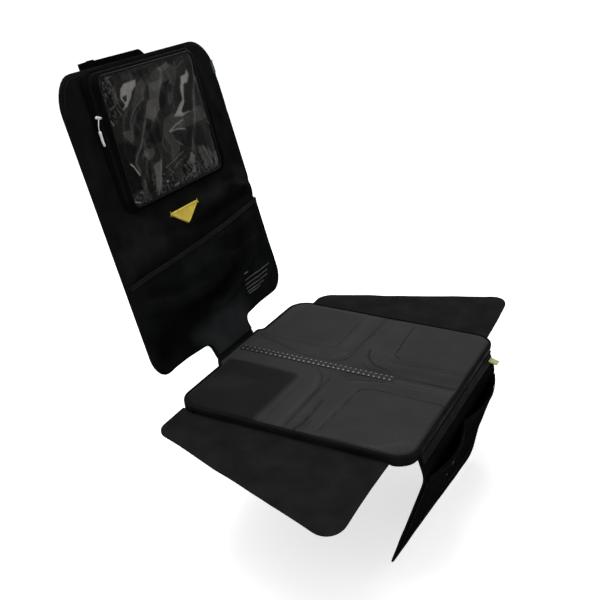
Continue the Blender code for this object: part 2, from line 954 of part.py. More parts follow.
def front_place(u, s, w):
    """A point at u across, s down the front flap and w in front of its back face."""
    ahead, down = 0.0, 0.0
    stride = s / front_strides
    for k in range(front_strides):
        angle = front_angle(u, stride * (k + 0.5))
        ahead += stride * math.sin(angle)
        down += stride * math.cos(angle)
    angle = front_angle(u, s)
    out = Vector((0.0, -math.cos(angle), math.sin(angle)))
    root = Vector((u, front_edge + gap + flap_cloth, front_fold - flap_cloth * math.sin(front_start)))
    return root + Vector((0.0, -ahead, -down)) + out * w


def front_cuts(low, high):
    """Where the cloth is cut to follow the bend of the front flap between two distances down."""
    end = front_tuck + front_roll
    cuts = [front_tuck] + spread(front_tuck, end, front_cut) + [end]
    return [s for s in cuts if low < s < high]


def cell_width():
    """Width of one compartment of the front pocket."""
    return 2 * front_pocket_half / cell_count


def front_stand(u, s):
    """How far the front pocket's cloth stands off the flap: each compartment bulges at its mouth."""
    share = (u + front_pocket_half) / cell_width()
    across = abs(math.sin(math.pi * share)) ** cell_fullness
    rise = 1.0 - smooth((s - front_pocket_top) / (front_pocket_bottom - front_pocket_top))
    return flap_cloth + gap + front_ease + front_pocket_gape * across * rise


def build_front_flap():
    """The flap that hangs from the front edge, its open pocket and the pocket's hem."""
    corners = [
        (-front_bottom_half, front_length - front_slant, front_radius),
        (-front_half, 0.0, 0.0),
        (front_half, 0.0, 0.0),
        (front_bottom_half, front_length + front_slant, front_radius),
    ]
    outline = rounded(corners)
    across = spread(-front_pocket_half, front_pocket_half, cell_width() / cell_cuts)
    along = front_cuts(0.0, front_length)
    slab("front_flap", outline, front_place, flat(0.0), flat(flap_cloth), black_cloth, across, along)
    left, right = -front_pocket_half, front_pocket_half
    pocket = rounded(box_corners(left, front_pocket_top, right, front_pocket_bottom, 0.0))
    along = front_cuts(front_pocket_top, front_pocket_bottom)
    along += spread(front_tuck + front_roll, front_pocket_bottom, front_pocket_cut)

    def outer(u, s):
        return front_stand(u, s) + front_pocket_cloth

    def hem_low(u, s):
        return outer(u, s) + gap

    def hem_high(u, s):
        return hem_low(u, s) + front_pocket_cloth

    slab("front_pocket", pocket, front_place, front_stand, outer, black_cloth, across, along)
    low = front_pocket_top + front_hem_height
    hem = rounded(box_corners(left, front_pocket_top, right, low, 0.0))
    along = front_cuts(front_pocket_top, low)
    slab("front_pocket_hem", hem, front_place, hem_low, hem_high, grey_cover, across, along)


def build_front_tab():
    """The small loop tab that sticks out under the front band."""
    top = binding_low - band_drop - gap
    low = top - 2 * tab_thickness
    root = front_edge - start_reach(low)
    tip = front_edge - tab_reach
    nose = tab_thickness - gap
    profile = rounded([(tip, low, nose), (root, low, 0.0), (root, top, 0.0), (tip, top, nose)])
    sides = (tab_across - tab_width / 2, tab_across + tab_width / 2)
    bm = bmesh.new()
    skin(bm, [[Vector((x, y, z)) for y, z in profile] for x in sides], False)
    finish("front_tab", bm, yellow_tab)


def side_place(side, droop):
    """Placing for a side flap: distance out from the seat edge, distance along it, offset upwards."""
    top = binding_low - gap

    def place(out, y, w):
        sag = droop * (max(out, 0.0) / side_front_width) ** 2
        return Vector((side * (seat_half + out), y, top - sag + w))

    return place


def build_side_flaps():
    """Two flaps, narrow at the back and wide at the front, laid a little askew of each other."""
    for side, name, droop in ((-1, "side_flap_near", near_droop), (1, "side_flap_far", far_droop)):
        back = back_edge - side_back_start - side * side_shift
        front = front_edge + side_front_end - side * side_shift
        corners = [
            (-side_root, front, 0.0),
            (side_front_width, front + side_front_slant, side_front_radius),
            (side_back_width, back, side_back_radius),
            (-side_root, back, 0.0),
        ]
        across = [0.0] + spread(0.0, side_front_width, side_cut)
        place = side_place(side, droop)
        slab(name, rounded(corners), place, flat(-flap_cloth), flat(0.0), black_cloth, across)


def main():
    """Build every piece."""
    clear_scene()
    build_seat_panel()
    build_quarters()
    build_grip_strip()
    build_back_panel()
    build_open_pocket()
    build_gusset()
    build_window()
    build_chain()
    build_slider()
    build_pull()
    build_labels()
    build_headrest_strap()
    build_front_band()
    build_front_flap()
    build_front_tab()
    build_side_flaps()


main()
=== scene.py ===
import math

import bmesh
import bpy
from mathutils import Matrix, Vector, noise


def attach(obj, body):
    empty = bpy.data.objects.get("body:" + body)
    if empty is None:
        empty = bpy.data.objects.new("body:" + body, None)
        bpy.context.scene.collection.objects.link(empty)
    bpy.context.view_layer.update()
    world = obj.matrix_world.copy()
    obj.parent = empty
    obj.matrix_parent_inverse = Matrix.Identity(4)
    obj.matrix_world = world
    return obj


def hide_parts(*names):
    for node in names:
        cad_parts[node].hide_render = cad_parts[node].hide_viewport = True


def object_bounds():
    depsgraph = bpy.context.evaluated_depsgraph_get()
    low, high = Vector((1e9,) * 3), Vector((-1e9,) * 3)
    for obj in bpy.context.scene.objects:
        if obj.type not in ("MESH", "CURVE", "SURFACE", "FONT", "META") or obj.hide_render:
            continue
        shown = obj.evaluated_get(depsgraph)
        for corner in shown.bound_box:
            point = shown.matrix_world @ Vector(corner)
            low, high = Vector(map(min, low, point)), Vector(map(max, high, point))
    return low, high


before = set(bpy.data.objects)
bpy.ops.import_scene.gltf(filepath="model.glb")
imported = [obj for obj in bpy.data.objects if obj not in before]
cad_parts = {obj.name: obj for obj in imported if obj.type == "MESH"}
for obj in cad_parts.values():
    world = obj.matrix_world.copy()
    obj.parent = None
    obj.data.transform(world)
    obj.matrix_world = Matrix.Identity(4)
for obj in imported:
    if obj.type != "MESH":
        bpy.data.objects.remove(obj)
cad_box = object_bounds()

# The sizes below repeat those of the construction, in metres
gap = 0.0003
seat_half, seat_depth = 0.240, 0.445
front_edge, back_edge = -seat_depth / 2, seat_depth / 2
seat_back_radius, seat_front_radius, seat_shoulder = 0.042, 0.038, 0.010
padding_thickness, cover_thickness, tape = 0.0100, 0.0012, 0.0012
top_lip, under_lip = 0.0040, 0.0120
cover_low = padding_thickness + gap
cover_top = cover_low + cover_thickness
binding_top = cover_top + gap + tape
core_inset = tape + gap
channel_half, channel_front_half, channel_flare_half, channel_flare_length = 0.016, 0.007, 0.060, 0.128
cross_channel, cross_place = 0.026, 0.232
quarter_thickness, quarter_corner, quarter_edge = 0.0018, 0.034, 0.0016
field_thickness, field_margin_across, field_margin_along, field_corner = 0.0014, 0.041, 0.040, 0.022
grip_start, grip_length, grip_width, rib_count = 0.010, 0.314, 0.0175, 31
grip_across = -0.003
grip_base, rib_height = 0.0008, 0.0022
back_half, back_height, back_thickness, back_top_radius = 0.241, 0.569, 0.0100, 0.062
back_recline = math.radians(17.6)
ear_height, ear_radius, neck_half, neck_fillet, neck_tuck = 0.031, 0.045, 0.066, 0.014, 0.010
tongue_reach, tongue_length, tongue_spread, tongue_ease = 0.0148, 0.085, 0.080, 0.0009
curl_start, curl_rise = 0.172, 0.010
pocket_cloth, pocket_margin, pocket_start = 0.0012, 0.002, 0.006
mouth_height, mouth_tilt, pocket_gape, pocket_hug, hem_height = 0.222, 0.050, 0.019, 0.060, 0.009
window_half, window_low, window_high, window_radius = 0.148, 0.320, 0.553, 0.016
window_depth_low, window_depth_high = 0.004, 0.017
gusset_flare, gusset_top_flare, gusset_low_flare, gusset_radius = 0.022, 0.008, 0.004, 0.026
gusset_thickness, film_thickness = 0.0012, 0.0005
piping_width, piping_height = 0.0042, 0.0020
badge_width, badge_height, badge_across, badge_top = 0.104, 0.033, -0.007, 0.285
badge_radius, badge_thickness = 0.007, 0.0020
tag_width, tag_length, tag_top, tag_thickness = 0.011, 0.024, 0.521, 0.0008
strap_cloth, strap_half, strap_drop, strap_rise, strap_back = 0.0020, 0.100, 0.050, 0.013, 0.042
strap_sink, strap_sink_start, strap_sink_run, strap_tab, strap_bend = 0.016, 0.082, 0.022, 0.022, 0.006
band_half, band_thickness, band_drop, band_radius = 0.200, 0.0014, 0.017, 0.004
flap_cloth, front_half, front_bottom_half, front_length = 0.0022, 0.206, 0.212, 0.245
front_slant, front_radius, front_roll = 0.010, 0.024, 0.034
front_start, front_lean, front_twist = math.radians(21.0), math.radians(12.8), math.radians(2.9)
front_pocket_top, front_pocket_bottom, front_pocket_half = 0.042, 0.214, 0.194
front_pocket_gape, cell_count, cell_fullness, front_hem_height = 0.017, 2, 0.8, 0.007
tab_width, tab_reach, tab_thickness, tab_across = 0.0175, 0.022, 0.0012, 0.188
side_root, side_back_width, side_front_width, side_back_start = 0.011, 0.074, 0.202, 0.0265
side_front_end, side_front_slant, side_back_radius, side_front_radius = 0.028, 0.004, 0.034, 0.032
side_shift, near_droop, far_droop = 0.008, 0.016, -0.018
front_fold = -gap
front_tuck = (band_drop + gap + 2 * tab_thickness) / math.cos(front_start)


# Placing: the same surfaces as the construction's


def smooth(value):
    """Ease from 0 to 1."""
    value = min(max(value, 0.0), 1.0)
    return value * value * (3.0 - 2.0 * value)


def back_place(u, h, w):
    """A point at u across, h up the back panel from the seam and w in front of its face."""
    up = Vector((0.0, math.sin(back_recline), math.cos(back_recline)))
    out = Vector((0.0, -math.cos(back_recline), math.sin(back_recline)))
    root = Vector((u, back_edge + gap + tongue_reach, binding_top))
    if h < 0.0:
        return root + Vector((0.0, -tongue_reach, h)) + out * w
    fade = 1.0 - smooth((abs(u) - neck_half) / tongue_spread)
    pull = tongue_reach * max(0.0, 1.0 - h / tongue_length) ** 2 * fade
    curl = curl_rise * smooth((-u - curl_start) / (back_half - curl_start))
    return root + up * h + out * (w + curl) - Vector((0.0, pull, 0.0))


def mouth(u):
    """Height of the open pocket's mouth."""
    return mouth_height + mouth_tilt * u


def pocket_stand(u, h):
    """How far the open pocket's cloth stands off the panel."""
    ease = tongue_ease * (1.0 - smooth((h - tongue_length) / pocket_hug))
    across = max(0.0, math.cos(math.pi / 2 * u / (back_half - pocket_margin)))
    rise = smooth((h - pocket_hug) / (mouth(u) - pocket_hug))
    return gap + ease + pocket_gape * across * rise


def window_depth(h):
    """How far the clear pocket's front stands off the panel."""
    share = (h - window_low) / (window_high - window_low)
    return window_depth_low + (window_depth_high - window_depth_low) * share


fall_stride = 0.001
fall_tables = {}


def front_angle(u, s):
    """How far the front flap leans forward at s down it."""
    back = front_lean - front_twist * u / front_half
    return front_start - (front_start + back) * smooth((s - front_tuck) / front_roll)


def front_fall(u):
    """The front flap's course at u across, as distances ahead and down at each stride."""
    key = round(u, 5)
    if key not in fall_tables:
        course = [(0.0, 0.0)]
        for k in range(270):
            angle = front_angle(u, fall_stride * (k + 0.5))
            ahead, down = course[-1]
            course.append((ahead + fall_stride * math.sin(angle), down + fall_stride * math.cos(angle)))
        fall_tables[key] = course
    return fall_tables[key]


def front_place(u, s, w):
    """A point at u across, s down the front flap and w in front of its back face."""
    course = front_fall(u)
    k = min(int(s / fall_stride), len(course) - 2)
    part = s / fall_stride - k
    ahead = course[k][0] + (course[k + 1][0] - course[k][0]) * part
    down = course[k][1] + (course[k + 1][1] - course[k][1]) * part
    angle = front_angle(u, s)
    out = Vector((0.0, -math.cos(angle), math.sin(angle)))
    root = Vector((u, front_edge + gap + flap_cloth, front_fold - flap_cloth * math.sin(front_start)))
    return root + Vector((0.0, -ahead, -down)) + out * w


def front_stand(u, s):
    """How far the front pocket's cloth stands off the flap's back face."""
    share = (u + front_pocket_half) / (2 * front_pocket_half / cell_count)
    across = abs(math.sin(math.pi * share)) ** cell_fullness
    rise = 1.0 - smooth((s - front_pocket_top) / (front_pocket_bottom - front_pocket_top))
    return flap_cloth + 2 * gap + front_pocket_gape * across * rise


def seat_place(x, y, z):
    """The seat panel is flat."""
    return Vector((x, y, z))


def band_place(u, z, w):
    """The front band hangs over the front edge and leans forward below it."""
    reach = max(0.0, front_fold - z) * math.tan(front_start)
    return Vector((u, front_edge - w - reach, z))


def side_place(side, droop):
    """Placing for a side flap: distance out from the seat edge, distance along it, offset upwards."""
    def place(out, y, w):
        sag = droop * (max(out, 0.0) / side_front_width) ** 2
        return Vector((side * (seat_half + out), y, -gap - sag + w))
    return place


# Outlines, as corners (x, y, radius) listed anticlockwise


def seat_corners():
    """Outer outline of the seat panel."""
    shoulder = back_edge - seat_shoulder
    near, far = neck_half + seat_shoulder, neck_half + 2 * seat_shoulder
    return [
        (-seat_half, front_edge, seat_front_radius),
        (seat_half, front_edge, seat_front_radius),
        (seat_half, shoulder, seat_back_radius),
        (far, shoulder, seat_shoulder),
        (near, back_edge, seat_shoulder),
        (-near, back_edge, seat_shoulder),
        (-far, shoulder, seat_shoulder),
        (-seat_half, shoulder, seat_back_radius),
    ]


def mirrored(corners):
    """The same outline on the near side."""
    return [(-x, y, radius) for x, y, radius in reversed(corners)]


def quarter_corners(side, front):
    """Outline of a quilted quarter."""
    rim = top_lip + gap + quarter_edge
    outer = seat_half - rim
    if front:
        near = back_edge - cross_place - cross_channel / 2
        far = front_edge + rim
        corners = [
            (outer, far, seat_front_radius - rim),
            (outer, near, 0.0),
            (channel_half, near, quarter_corner),
            (channel_front_half, far, 0.0),
        ]
    else:
        near = back_edge - cross_place + cross_channel / 2
        far = back_edge - seat_shoulder - rim
        corners = [
            (outer, near, 0.0),
            (outer, far, seat_back_radius - rim),
            (channel_flare_half, far, 0.0),
            (channel_half, back_edge - channel_flare_length, channel_flare_half),
            (channel_half, near, quarter_corner),
        ]
    return mirrored(corners) if side < 0 else corners


def field_corners(side, front):
    """Outline of the second raised field on a quarter."""
    rim = top_lip + 2 * gap + 2 * quarter_edge
    outer = seat_half - rim
    inner = channel_half + field_margin_across
    if front:
        near = back_edge - cross_place - cross_channel / 2 - field_margin_along
        far = front_edge + rim
        corners = [
            (outer, far, seat_front_radius - rim),
            (outer, near, 0.0),
            (inner, near, field_corner),
            (inner, far, 0.0),
        ]
    else:
        near = back_edge - cross_place + cross_channel / 2 + field_margin_along
        far = back_edge - seat_shoulder - rim
        corners = [
            (outer, near, 0.0),
            (outer, far, seat_back_radius - rim),
            (channel_flare_half + quarter_edge, far, 0.0),
            (inner, near, field_corner),
        ]
    return mirrored(corners) if side < 0 else corners


def back_corners(seam, top_left, top_right, top_radius):
    """Outline of the back panel from a seam height up to a top edge."""
    return [
        (-neck_half, seam, 0.0),
        (neck_half, seam, 0.0),
        (neck_half, ear_height, neck_fillet),
        (back_half, ear_height, ear_radius),
        (back_half, top_right, top_radius),
        (-back_half, top_left, top_radius),
        (-back_half, ear_height, ear_radius),
        (-neck_half, ear_height, neck_fillet),
    ]


def box_corners(left, low, right, high, radius):
    """Corners of a rectangle with one radius."""
    return [(left, low, radius), (right, low, radius), (right, high, radius), (left, high, radius)]


# Modelling


def flat_outline(bm, corners, z=0.0):
    """Draw an outline as one flat face and round its corners. Returns the face."""
    verts = [bm.verts.new((x, y, z)) for x, y, _ in corners]
    face = bm.faces.new(verts)
    bm.normal_update()
    for i, (x, y, radius) in enumerate(corners):
        if radius <= 0.0:
            continue
        here = Vector((x, y))
        before = here - Vector(corners[i - 1][:2])
        after = Vector(corners[(i + 1) % len(corners)][:2]) - here
        reach = radius * math.tan(before.angle(after) / 2)
        bmesh.ops.bevel(
            bm,
            geom=[verts[i]],
            offset=reach,
            segments=8,
            profile=0.5,
            affect="VERTICES",
            material=-1,
        )
    return [f for f in bm.faces if abs(f.calc_center_median().z - z) < gap / 10 and f.is_valid][-1]


def draw_in(bm, face, thickness):
    """Draw a flat face in from its outline. Returns the ring of faces left round it."""
    return bmesh.ops.inset_region(
        bm, faces=[face], thickness=thickness, use_boundary=True, use_even_offset=True
    )["faces"]


def outline_points(corners, inset=0.0):
    """Points of a rounded outline moved inwards by inset."""
    bm = bmesh.new()
    face = flat_outline(bm, corners)
    if inset > 0.0:
        draw_in(bm, face, inset)
    points = [(loop.vert.co.x, loop.vert.co.y) for loop in face.loops]
    bm.free()
    return points


def edge_distance(u, v, points):
    """How far a flat point lies from a closed outline."""
    best = 1.0
    x0, y0 = points[-1]
    for x1, y1 in points:
        dx, dy = x1 - x0, y1 - y0
        run = dx * dx + dy * dy
        t = min(max(((u - x0) * dx + (v - y0) * dy) / run, 0.0), 1.0) if run > 0.0 else 0.0
        best = min(best, math.hypot(u - x0 - t * dx, v - y0 - t * dy))
        x0, y0 = x1, y1
    return best


def rounding(edge, radius):
    """Height of a quarter round at a distance in from its edge, from 0 to 1."""
    share = min(max(edge / radius, 0.0), 1.0)
    return math.sqrt(max(0.0, 1.0 - (1.0 - share) ** 2))


def along_line(u, v, line):
    """Distance of a flat point from an open line of points."""
    best = 1.0
    for (x0, y0), (x1, y1) in zip(line, line[1:]):
        dx, dy = x1 - x0, y1 - y0
        t = min(max(((u - x0) * dx + (v - y0) * dy) / (dx * dx + dy * dy), 0.0), 1.0)
        best = min(best, math.hypot(u - x0 - t * dx, v - y0 - t * dy))
    return best


def ridge(height, width, points):
    """A soft ridge's height and width, given in millimetres, along points in centimetres."""
    return height / 1000, width / 1000, [(x / 100, y / 100) for x, y in points]


def folds(u, v, lines):
    """Sum of soft ridges at a flat point."""
    total = 0.0
    for height, width, line in lines:
        distance = along_line(u, v, line)
        if distance < 2.5 * width:
            total += height * math.exp(-(distance / width) ** 2)
    return total


def patch(value, soft, points, width=0.0):
    """A toned patch with a soft edge, or a line of some width, in millimetres, from points in centimetres."""
    soft, width = soft / 1000, width / 1000
    corners = [(x / 100, y / 100) for x, y in points]
    reach = soft + width / 2
    us, vs = zip(*corners)
    return value, soft, width, corners, (min(us) - reach, max(us) + reach, min(vs) - reach, max(vs) + reach)


def within(u, v, corners):
    """Whether a flat point lies inside a closed outline."""
    inside = False
    x0, y0 = corners[-1]
    for x1, y1 in corners:
        if (y0 > v) != (y1 > v) and u < (x1 - x0) * (v - y0) / (y1 - y0) + x0:
            inside = not inside
        x0, y0 = x1, y1
    return inside


def toned(u, v, tone, patches):
    """The tone at a flat point, after the patches over it: the later ones lie on top."""
    for value, soft, width, corners, box in patches:
        if not (box[0] < u < box[1] and box[2] < v < box[3]):
            continue
        if width > 0.0:
            depth = width / 2 - along_line(u, v, corners)
        else:
            depth = edge_distance(u, v, corners)
            depth = depth if within(u, v, corners) else -depth
        tone += (value - tone) * smooth(0.5 + depth / soft)
    return tone


def drift(u, v, size, seed=0.0):
    """Slow unevenness of hand-sewn cloth, from -1 to 1."""
    return noise.noise(Vector((u / size, v / size, seed)))


def cut_grid(bm, step):
    """Cut flat faces into a grid."""
    for axis in (0, 1):
        values = [vert.co[axis] for vert in bm.verts]
        low, high = min(values), max(values)
        count = max(1, round((high - low) / step))
        normal = Vector((1.0, 0.0, 0.0)) if axis == 0 else Vector((0.0, 1.0, 0.0))
        for k in range(1, count):
            point = normal * (low + (high - low) * k / count)
            slice_at(bm, bm.verts[:] + bm.edges[:] + bm.faces[:], point, normal)


def keep(name, bm, finish, nodes=(), body="cover", sharp=50.0):
    """Make a finished shape into a piece that rides on a body and stands for its nodes."""
    bm.normal_update()
    for face in bm.faces:
        face.smooth = True
    for edge in bm.edges:
        if len(edge.link_faces) == 2 and edge.calc_face_angle(0.0) > math.radians(sharp):
            edge.smooth = False
    mesh = bpy.data.meshes.new(name)
    bm.to_mesh(mesh)
    bm.free()
    piece = bpy.data.objects.new(name, mesh)
    bpy.context.scene.collection.objects.link(piece)
    mesh.materials.append(finish)
    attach(piece, body)
    if nodes:
        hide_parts(*nodes)
    return piece


def cloth(name, corners, place, low, high, finish, nodes=(), step=0.005, rims=(0.0006,),
          inset=0.0, hollow=False, marks=None):
    """A layer of cloth: its flat cut, cut into a grid, given its two faces and put in place.

    low and high give the two faces' offsets at (u, v, distance from the cut's edge). rims are the
    widths of the rings sewn in from the edge, hollow keeps only those rings, and inset draws the
    whole cut in. marks(u, v) fills the vertex attribute of painted light and shade.
    """
    bm = bmesh.new()
    layer = bm.loops.layers.uv.new("cloth")
    # Each vertex carries a tone of painted light and shade, 1 where none is painted.
    painted_light_tone = bm.verts.layers.float.new("painted_light_tone")
    face = flat_outline(bm, corners)
    if inset > 0.0:
        bmesh.ops.delete(bm, geom=draw_in(bm, face, inset), context="FACES")
    outline = [(loop.vert.co.x, loop.vert.co.y) for loop in face.loops]
    for rim in rims:
        draw_in(bm, face, rim)
    if hollow:
        hole = [(loop.vert.co.x, loop.vert.co.y) for loop in face.loops]
        bmesh.ops.delete(bm, geom=[face], context="FACES")
    cut_grid(bm, step)
    area = sum(f.calc_area() for f in bm.faces)
    pairs = list(zip(outline, outline[1:] + outline[:1]))
    (x0, y0), (x1, y1) = max(pairs, key=lambda pair: math.dist(*pair))
    along = Vector((x1 - x0, y1 - y0)).normalized()
    spans = [[vert.co.xy.dot(way) for vert in bm.verts] for way in (along, along.orthogonal())]
    flat = [max(max(values) - min(values), 0.010) for values in spans]
    raised = bmesh.ops.extrude_face_region(bm, geom=bm.faces[:], use_keep_orig=True)
    upper = {item for item in raised["geom"] if isinstance(item, bmesh.types.BMVert)}
    for f in bm.faces:
        for loop in f.loops:
            loop[layer].uv = (loop.vert.co.x, loop.vert.co.y)
    for vert in bm.verts:
        u, v = vert.co.x, vert.co.y
        edge = edge_distance(u, v, outline)
        if hollow:
            edge = min(edge, edge_distance(u, v, hole))
        vert[painted_light_tone] = marks(u, v) if marks else 1.0
        vert.co = place(u, v, high(u, v, edge) if vert in upper else low(u, v, edge))
    bmesh.ops.recalc_face_normals(bm, faces=bm.faces[:])
    piece = keep(name, bm, finish, nodes)
    return piece


def level(value):
    """A constant offset."""
    return lambda u, v, edge=0.0: value


def over(face, lift):
    """A surface a little above another one."""
    return lambda u, v, edge=0.0: face(u, v, edge) + lift


def domed(base, rim, thickness, radius):
    """The upper face over a lower one: rim above it at the edge and rounded up to its thickness."""
    return lambda u, v, edge: base(u, v, edge) + rim + (thickness - rim) * rounding(edge, radius)


def mapped(bm, place=lambda spot: (spot.x, spot.y)):
    """Lay a shape's map out in metres."""
    layer = bm.loops.layers.uv.new("cloth")
    for face in bm.faces:
        for loop in face.loops:
            loop[layer].uv = place(loop.vert.co)


def strip(points, step, count):
    """A line of points drawn out sideways in steps, with its map."""
    bm = bmesh.new()
    line = [bm.verts.new(point) for point in points]
    edges = [bm.edges.new(pair) for pair in zip(line, line[1:])]
    for _ in range(count):
        raised = bmesh.ops.extrude_edge_only(bm, edges=edges)["geom"]
        edges = [item for item in raised if isinstance(item, bmesh.types.BMEdge)]
        verts = [item for item in raised if isinstance(item, bmesh.types.BMVert)]
        bmesh.ops.translate(bm, vec=step, verts=verts)
    mapped(bm)
    return bm


def thicken(piece, thickness, offset=-1.0, soft=0.0):
    """Give a thin shape its thickness, inwards or on both sides, and soften its edges."""
    wall = piece.modifiers.new("thickness", "SOLIDIFY")
    wall.thickness, wall.offset = thickness, offset
    if soft > 0.0:
        edges = piece.modifiers.new("soft edges", "BEVEL")
        edges.width, edges.segments = soft, 2


def slice_at(bm, geom, point, normal):
    """Cut a shape along a plane and keep both sides."""
    bmesh.ops.bisect_plane(bm, geom=geom, dist=1e-6, plane_co=point, plane_no=normal)


def paces(line, pitch, left=0.0):
    """Evenly spaced places along a flat line, each with the line's direction there."""
    for (x0, y0), (x1, y1) in zip(line, line[1:]):
        run = math.hypot(x1 - x0, y1 - y0)
        at = left
        while at < run:
            yield x0 + (x1 - x0) * at / run, y0 + (y1 - y0) * at / run, (x1 - x0) / run, (y1 - y0) / run
            at += pitch
        left = at - run


def sew(name, lines, place, lift):
    """Rows of stitches along flat lines, lying on the surface at lift(u, v)."""
    pitch, length, thick = 0.0042, 0.0031, 0.00045
    bm = bmesh.new()
    for line in lines:
        for u, v, across, along in paces(line, pitch, pitch / 2):
            w = lift(u, v)
            here = place(u, v, w)
            way = (place(u + across * 0.001, v + along * 0.001, w) - here).normalized()
            out = (place(u, v, w + 0.001) - here).normalized()
            side = way.cross(out).normalized()
            up = way.cross(side).normalized()
            turn = Matrix((way * length / 2, side * thick, up * thick)).transposed()
            matrix = Matrix.Translation(here + out * thick * 0.35) @ turn.to_4x4()
            bmesh.ops.create_icosphere(bm, subdivisions=1, radius=1.0, matrix=matrix)
    bmesh.ops.recalc_face_normals(bm, faces=bm.faces[:])
    keep(name, bm, sewing_thread, sharp=180.0)


def closed(points):
    """An outline's points with the first one again at the end."""
    return points + points[:1]


# Finishes


def fill(tree, node, inputs):
    """Give a node its inputs, each a value or another node's socket."""
    for key, value in dict(inputs).items():
        if isinstance(value, bpy.types.NodeSocket):
            tree.links.new(value, node.inputs[key])
        else:
            node.inputs[key].default_value = value


def add(tree, kind, settings=(), inputs=()):
    """A shader node with its settings and its inputs."""
    made = tree.nodes.new(kind)
    for key, value in dict(settings).items():
        setattr(made, key, value)
    fill(tree, made, inputs)
    return made


def calculate(tree, operation, *values):
    """A sum of one or more values."""
    return add(tree, "ShaderNodeMath", {"operation": operation}, dict(enumerate(values))).outputs[0]


def scaled(tree, vector, factor):
    """A vector or a colour times a factor."""
    return add(tree, "ShaderNodeVectorMath", {"operation": "SCALE"}, {0: vector, 3: factor}).outputs[0]


def speckle(tree, vector, scale, detail):
    """Fine noise."""
    inputs = {"Vector": vector, "Scale": scale, "Detail": detail}
    return add(tree, "ShaderNodeTexNoise", inputs=inputs).outputs[0]


def spanned(tree, value, *span):
    """A value carried from one span over to another: from low, from high, to low, to high."""
    return add(tree, "ShaderNodeMapRange", inputs={"Value": value, **dict(enumerate(span, 1))}).outputs[0]


def blended(tree, factor, one, other):
    """A colour between two others."""
    return add(tree, "ShaderNodeMix", {"data_type": "RGBA"}, {"Factor": factor, 6: one, 7: other}).outputs[2]


def bumped(tree, strength, distance, height):
    """A bumped normal."""
    inputs = {"Strength": strength, "Distance": distance, "Height": height}
    return add(tree, "ShaderNodeBump", inputs=inputs).outputs[0]


def effect(name, given, wanted):
    """An empty shader node group with a vector input, named values and value outputs."""
    group = bpy.data.node_groups.new(name, "ShaderNodeTree")
    group.interface.new_socket("Vector", in_out="INPUT", socket_type="NodeSocketVector")
    for label, value in given.items():
        group.interface.new_socket(label, in_out="INPUT", socket_type="NodeSocketFloat").default_value = value
    for label in wanted:
        group.interface.new_socket(label, in_out="OUTPUT", socket_type="NodeSocketFloat")
    return group, group.nodes.new("NodeGroupInput").outputs, group.nodes.new("NodeGroupOutput")


def make_weave():
    """Plain weave: threads over and under, with uneven fibres. Height and shade, from 0 to 1."""
    group, given, wanted = effect("plain weave", {"Threads": 1400.0}, ("Height", "Shade"))
    places = scaled(group, given["Vector"], calculate(group, "MULTIPLY", given["Threads"], math.pi))
    axes = add(group, "ShaderNodeSeparateXYZ", inputs={0: places}).outputs
    woven = calculate(group, "MULTIPLY", calculate(group, "SINE", axes[0]), calculate(group, "SINE", axes[1]))
    rough = calculate(group, "MULTIPLY_ADD", speckle(group, places, 0.35, 2.0), 0.5, -0.25)
    height = calculate(group, "ADD", calculate(group, "MULTIPLY_ADD", woven, 0.5, 0.5), rough)
    fill(group, wanted, {"Height": height, "Shade": calculate(group, "MULTIPLY_ADD", height, 0.35, 0.8)})
    return group


def make_grain():
    """Fine pebbled grain of a coated fabric. Height and shade."""
    group, given, wanted = effect("pebbled grain", {"Cells": 700.0}, ("Height", "Shade"))
    inputs = {"Vector": given["Vector"], "Scale": given["Cells"], "Smoothness": 0.6}
    cells = add(group, "ShaderNodeTexVoronoi", {"feature": "SMOOTH_F1"}, inputs)
    pits = calculate(group, "MULTIPLY_ADD", cells.outputs["Distance"], -0.8, 1.0)
    height = calculate(group, "MULTIPLY_ADD", speckle(group, given["Vector"], 160.0, 3.0), 0.5, pits)
    fill(group, wanted, {"Height": height, "Shade": calculate(group, "MULTIPLY_ADD", pits, 0.25, 0.82)})
    return group


def make_cloud():
    """Soft uneven tone, from Low to High, in patches of Size metres."""
    group, given, wanted = effect("uneven tone", {"Size": 0.05, "Low": 0.8, "High": 1.2}, ("Shade",))
    tone = speckle(group, given["Vector"], calculate(group, "DIVIDE", 1.0, given["Size"]), 3.0)
    fill(group, wanted, {"Shade": spanned(group, tone, 0.32, 0.68, given["Low"], given["High"])})
    return group


weave, grain, cloud = make_weave(), make_grain(), make_cloud()


def place_effect(tree, group, vector, values):
    """Put a shared effect into a material with its own values."""
    return add(tree, "ShaderNodeGroup", {"node_tree": group}, {"Vector": vector, **values}).outputs


def new_finish(name):
    """A new material, its tree and its shader."""
    material = bpy.data.materials.new(name)
    material.use_nodes = True
    return material, material.node_tree, material.node_tree.nodes["Principled BSDF"]


def painted_light_attribute(tree):
    """The painted light and shade that a piece carries at each place, as a tone."""
    return add(tree, "ShaderNodeAttribute", {"attribute_name": "painted_light_tone"}).outputs["Fac"]


def fabric(name, colour, threads=1400.0, depth=0.0002, tone=(0.05, 0.8, 1.25), roughness=0.85,
           specular=0.0, coated=False, own_map=True, pressed=False):
    """Cloth: a weave or a coated grain, an uneven tone and, if asked, the painted light and shade that the
    piece carries.
    """
    material, tree, shader = new_finish(name)
    source = add(tree, "ShaderNodeTexCoord").outputs["UV" if own_map else "Object"]
    group, count = (grain, "Cells") if coated else (weave, "Threads")
    surface = place_effect(tree, group, source, {count: threads})
    patches = place_effect(tree, cloud, source, dict(zip(("Size", "Low", "High"), tone)))["Shade"]
    shade = calculate(tree, "MULTIPLY", surface["Shade"], patches)
    # Painted light and shade: the piece's tone lightens and darkens the colour.
    if pressed:
        shade = calculate(tree, "MULTIPLY", shade, painted_light_attribute(tree))
    fill(tree, shader, {
        "Base Color": scaled(tree, colour, shade),
        "Roughness": calculate(tree, "MULTIPLY_ADD", patches, -0.12, roughness + 0.12),
        "Specular IOR Level": specular,
        "Normal": bumped(tree, 0.7, depth, surface["Height"]),
    })
    return material


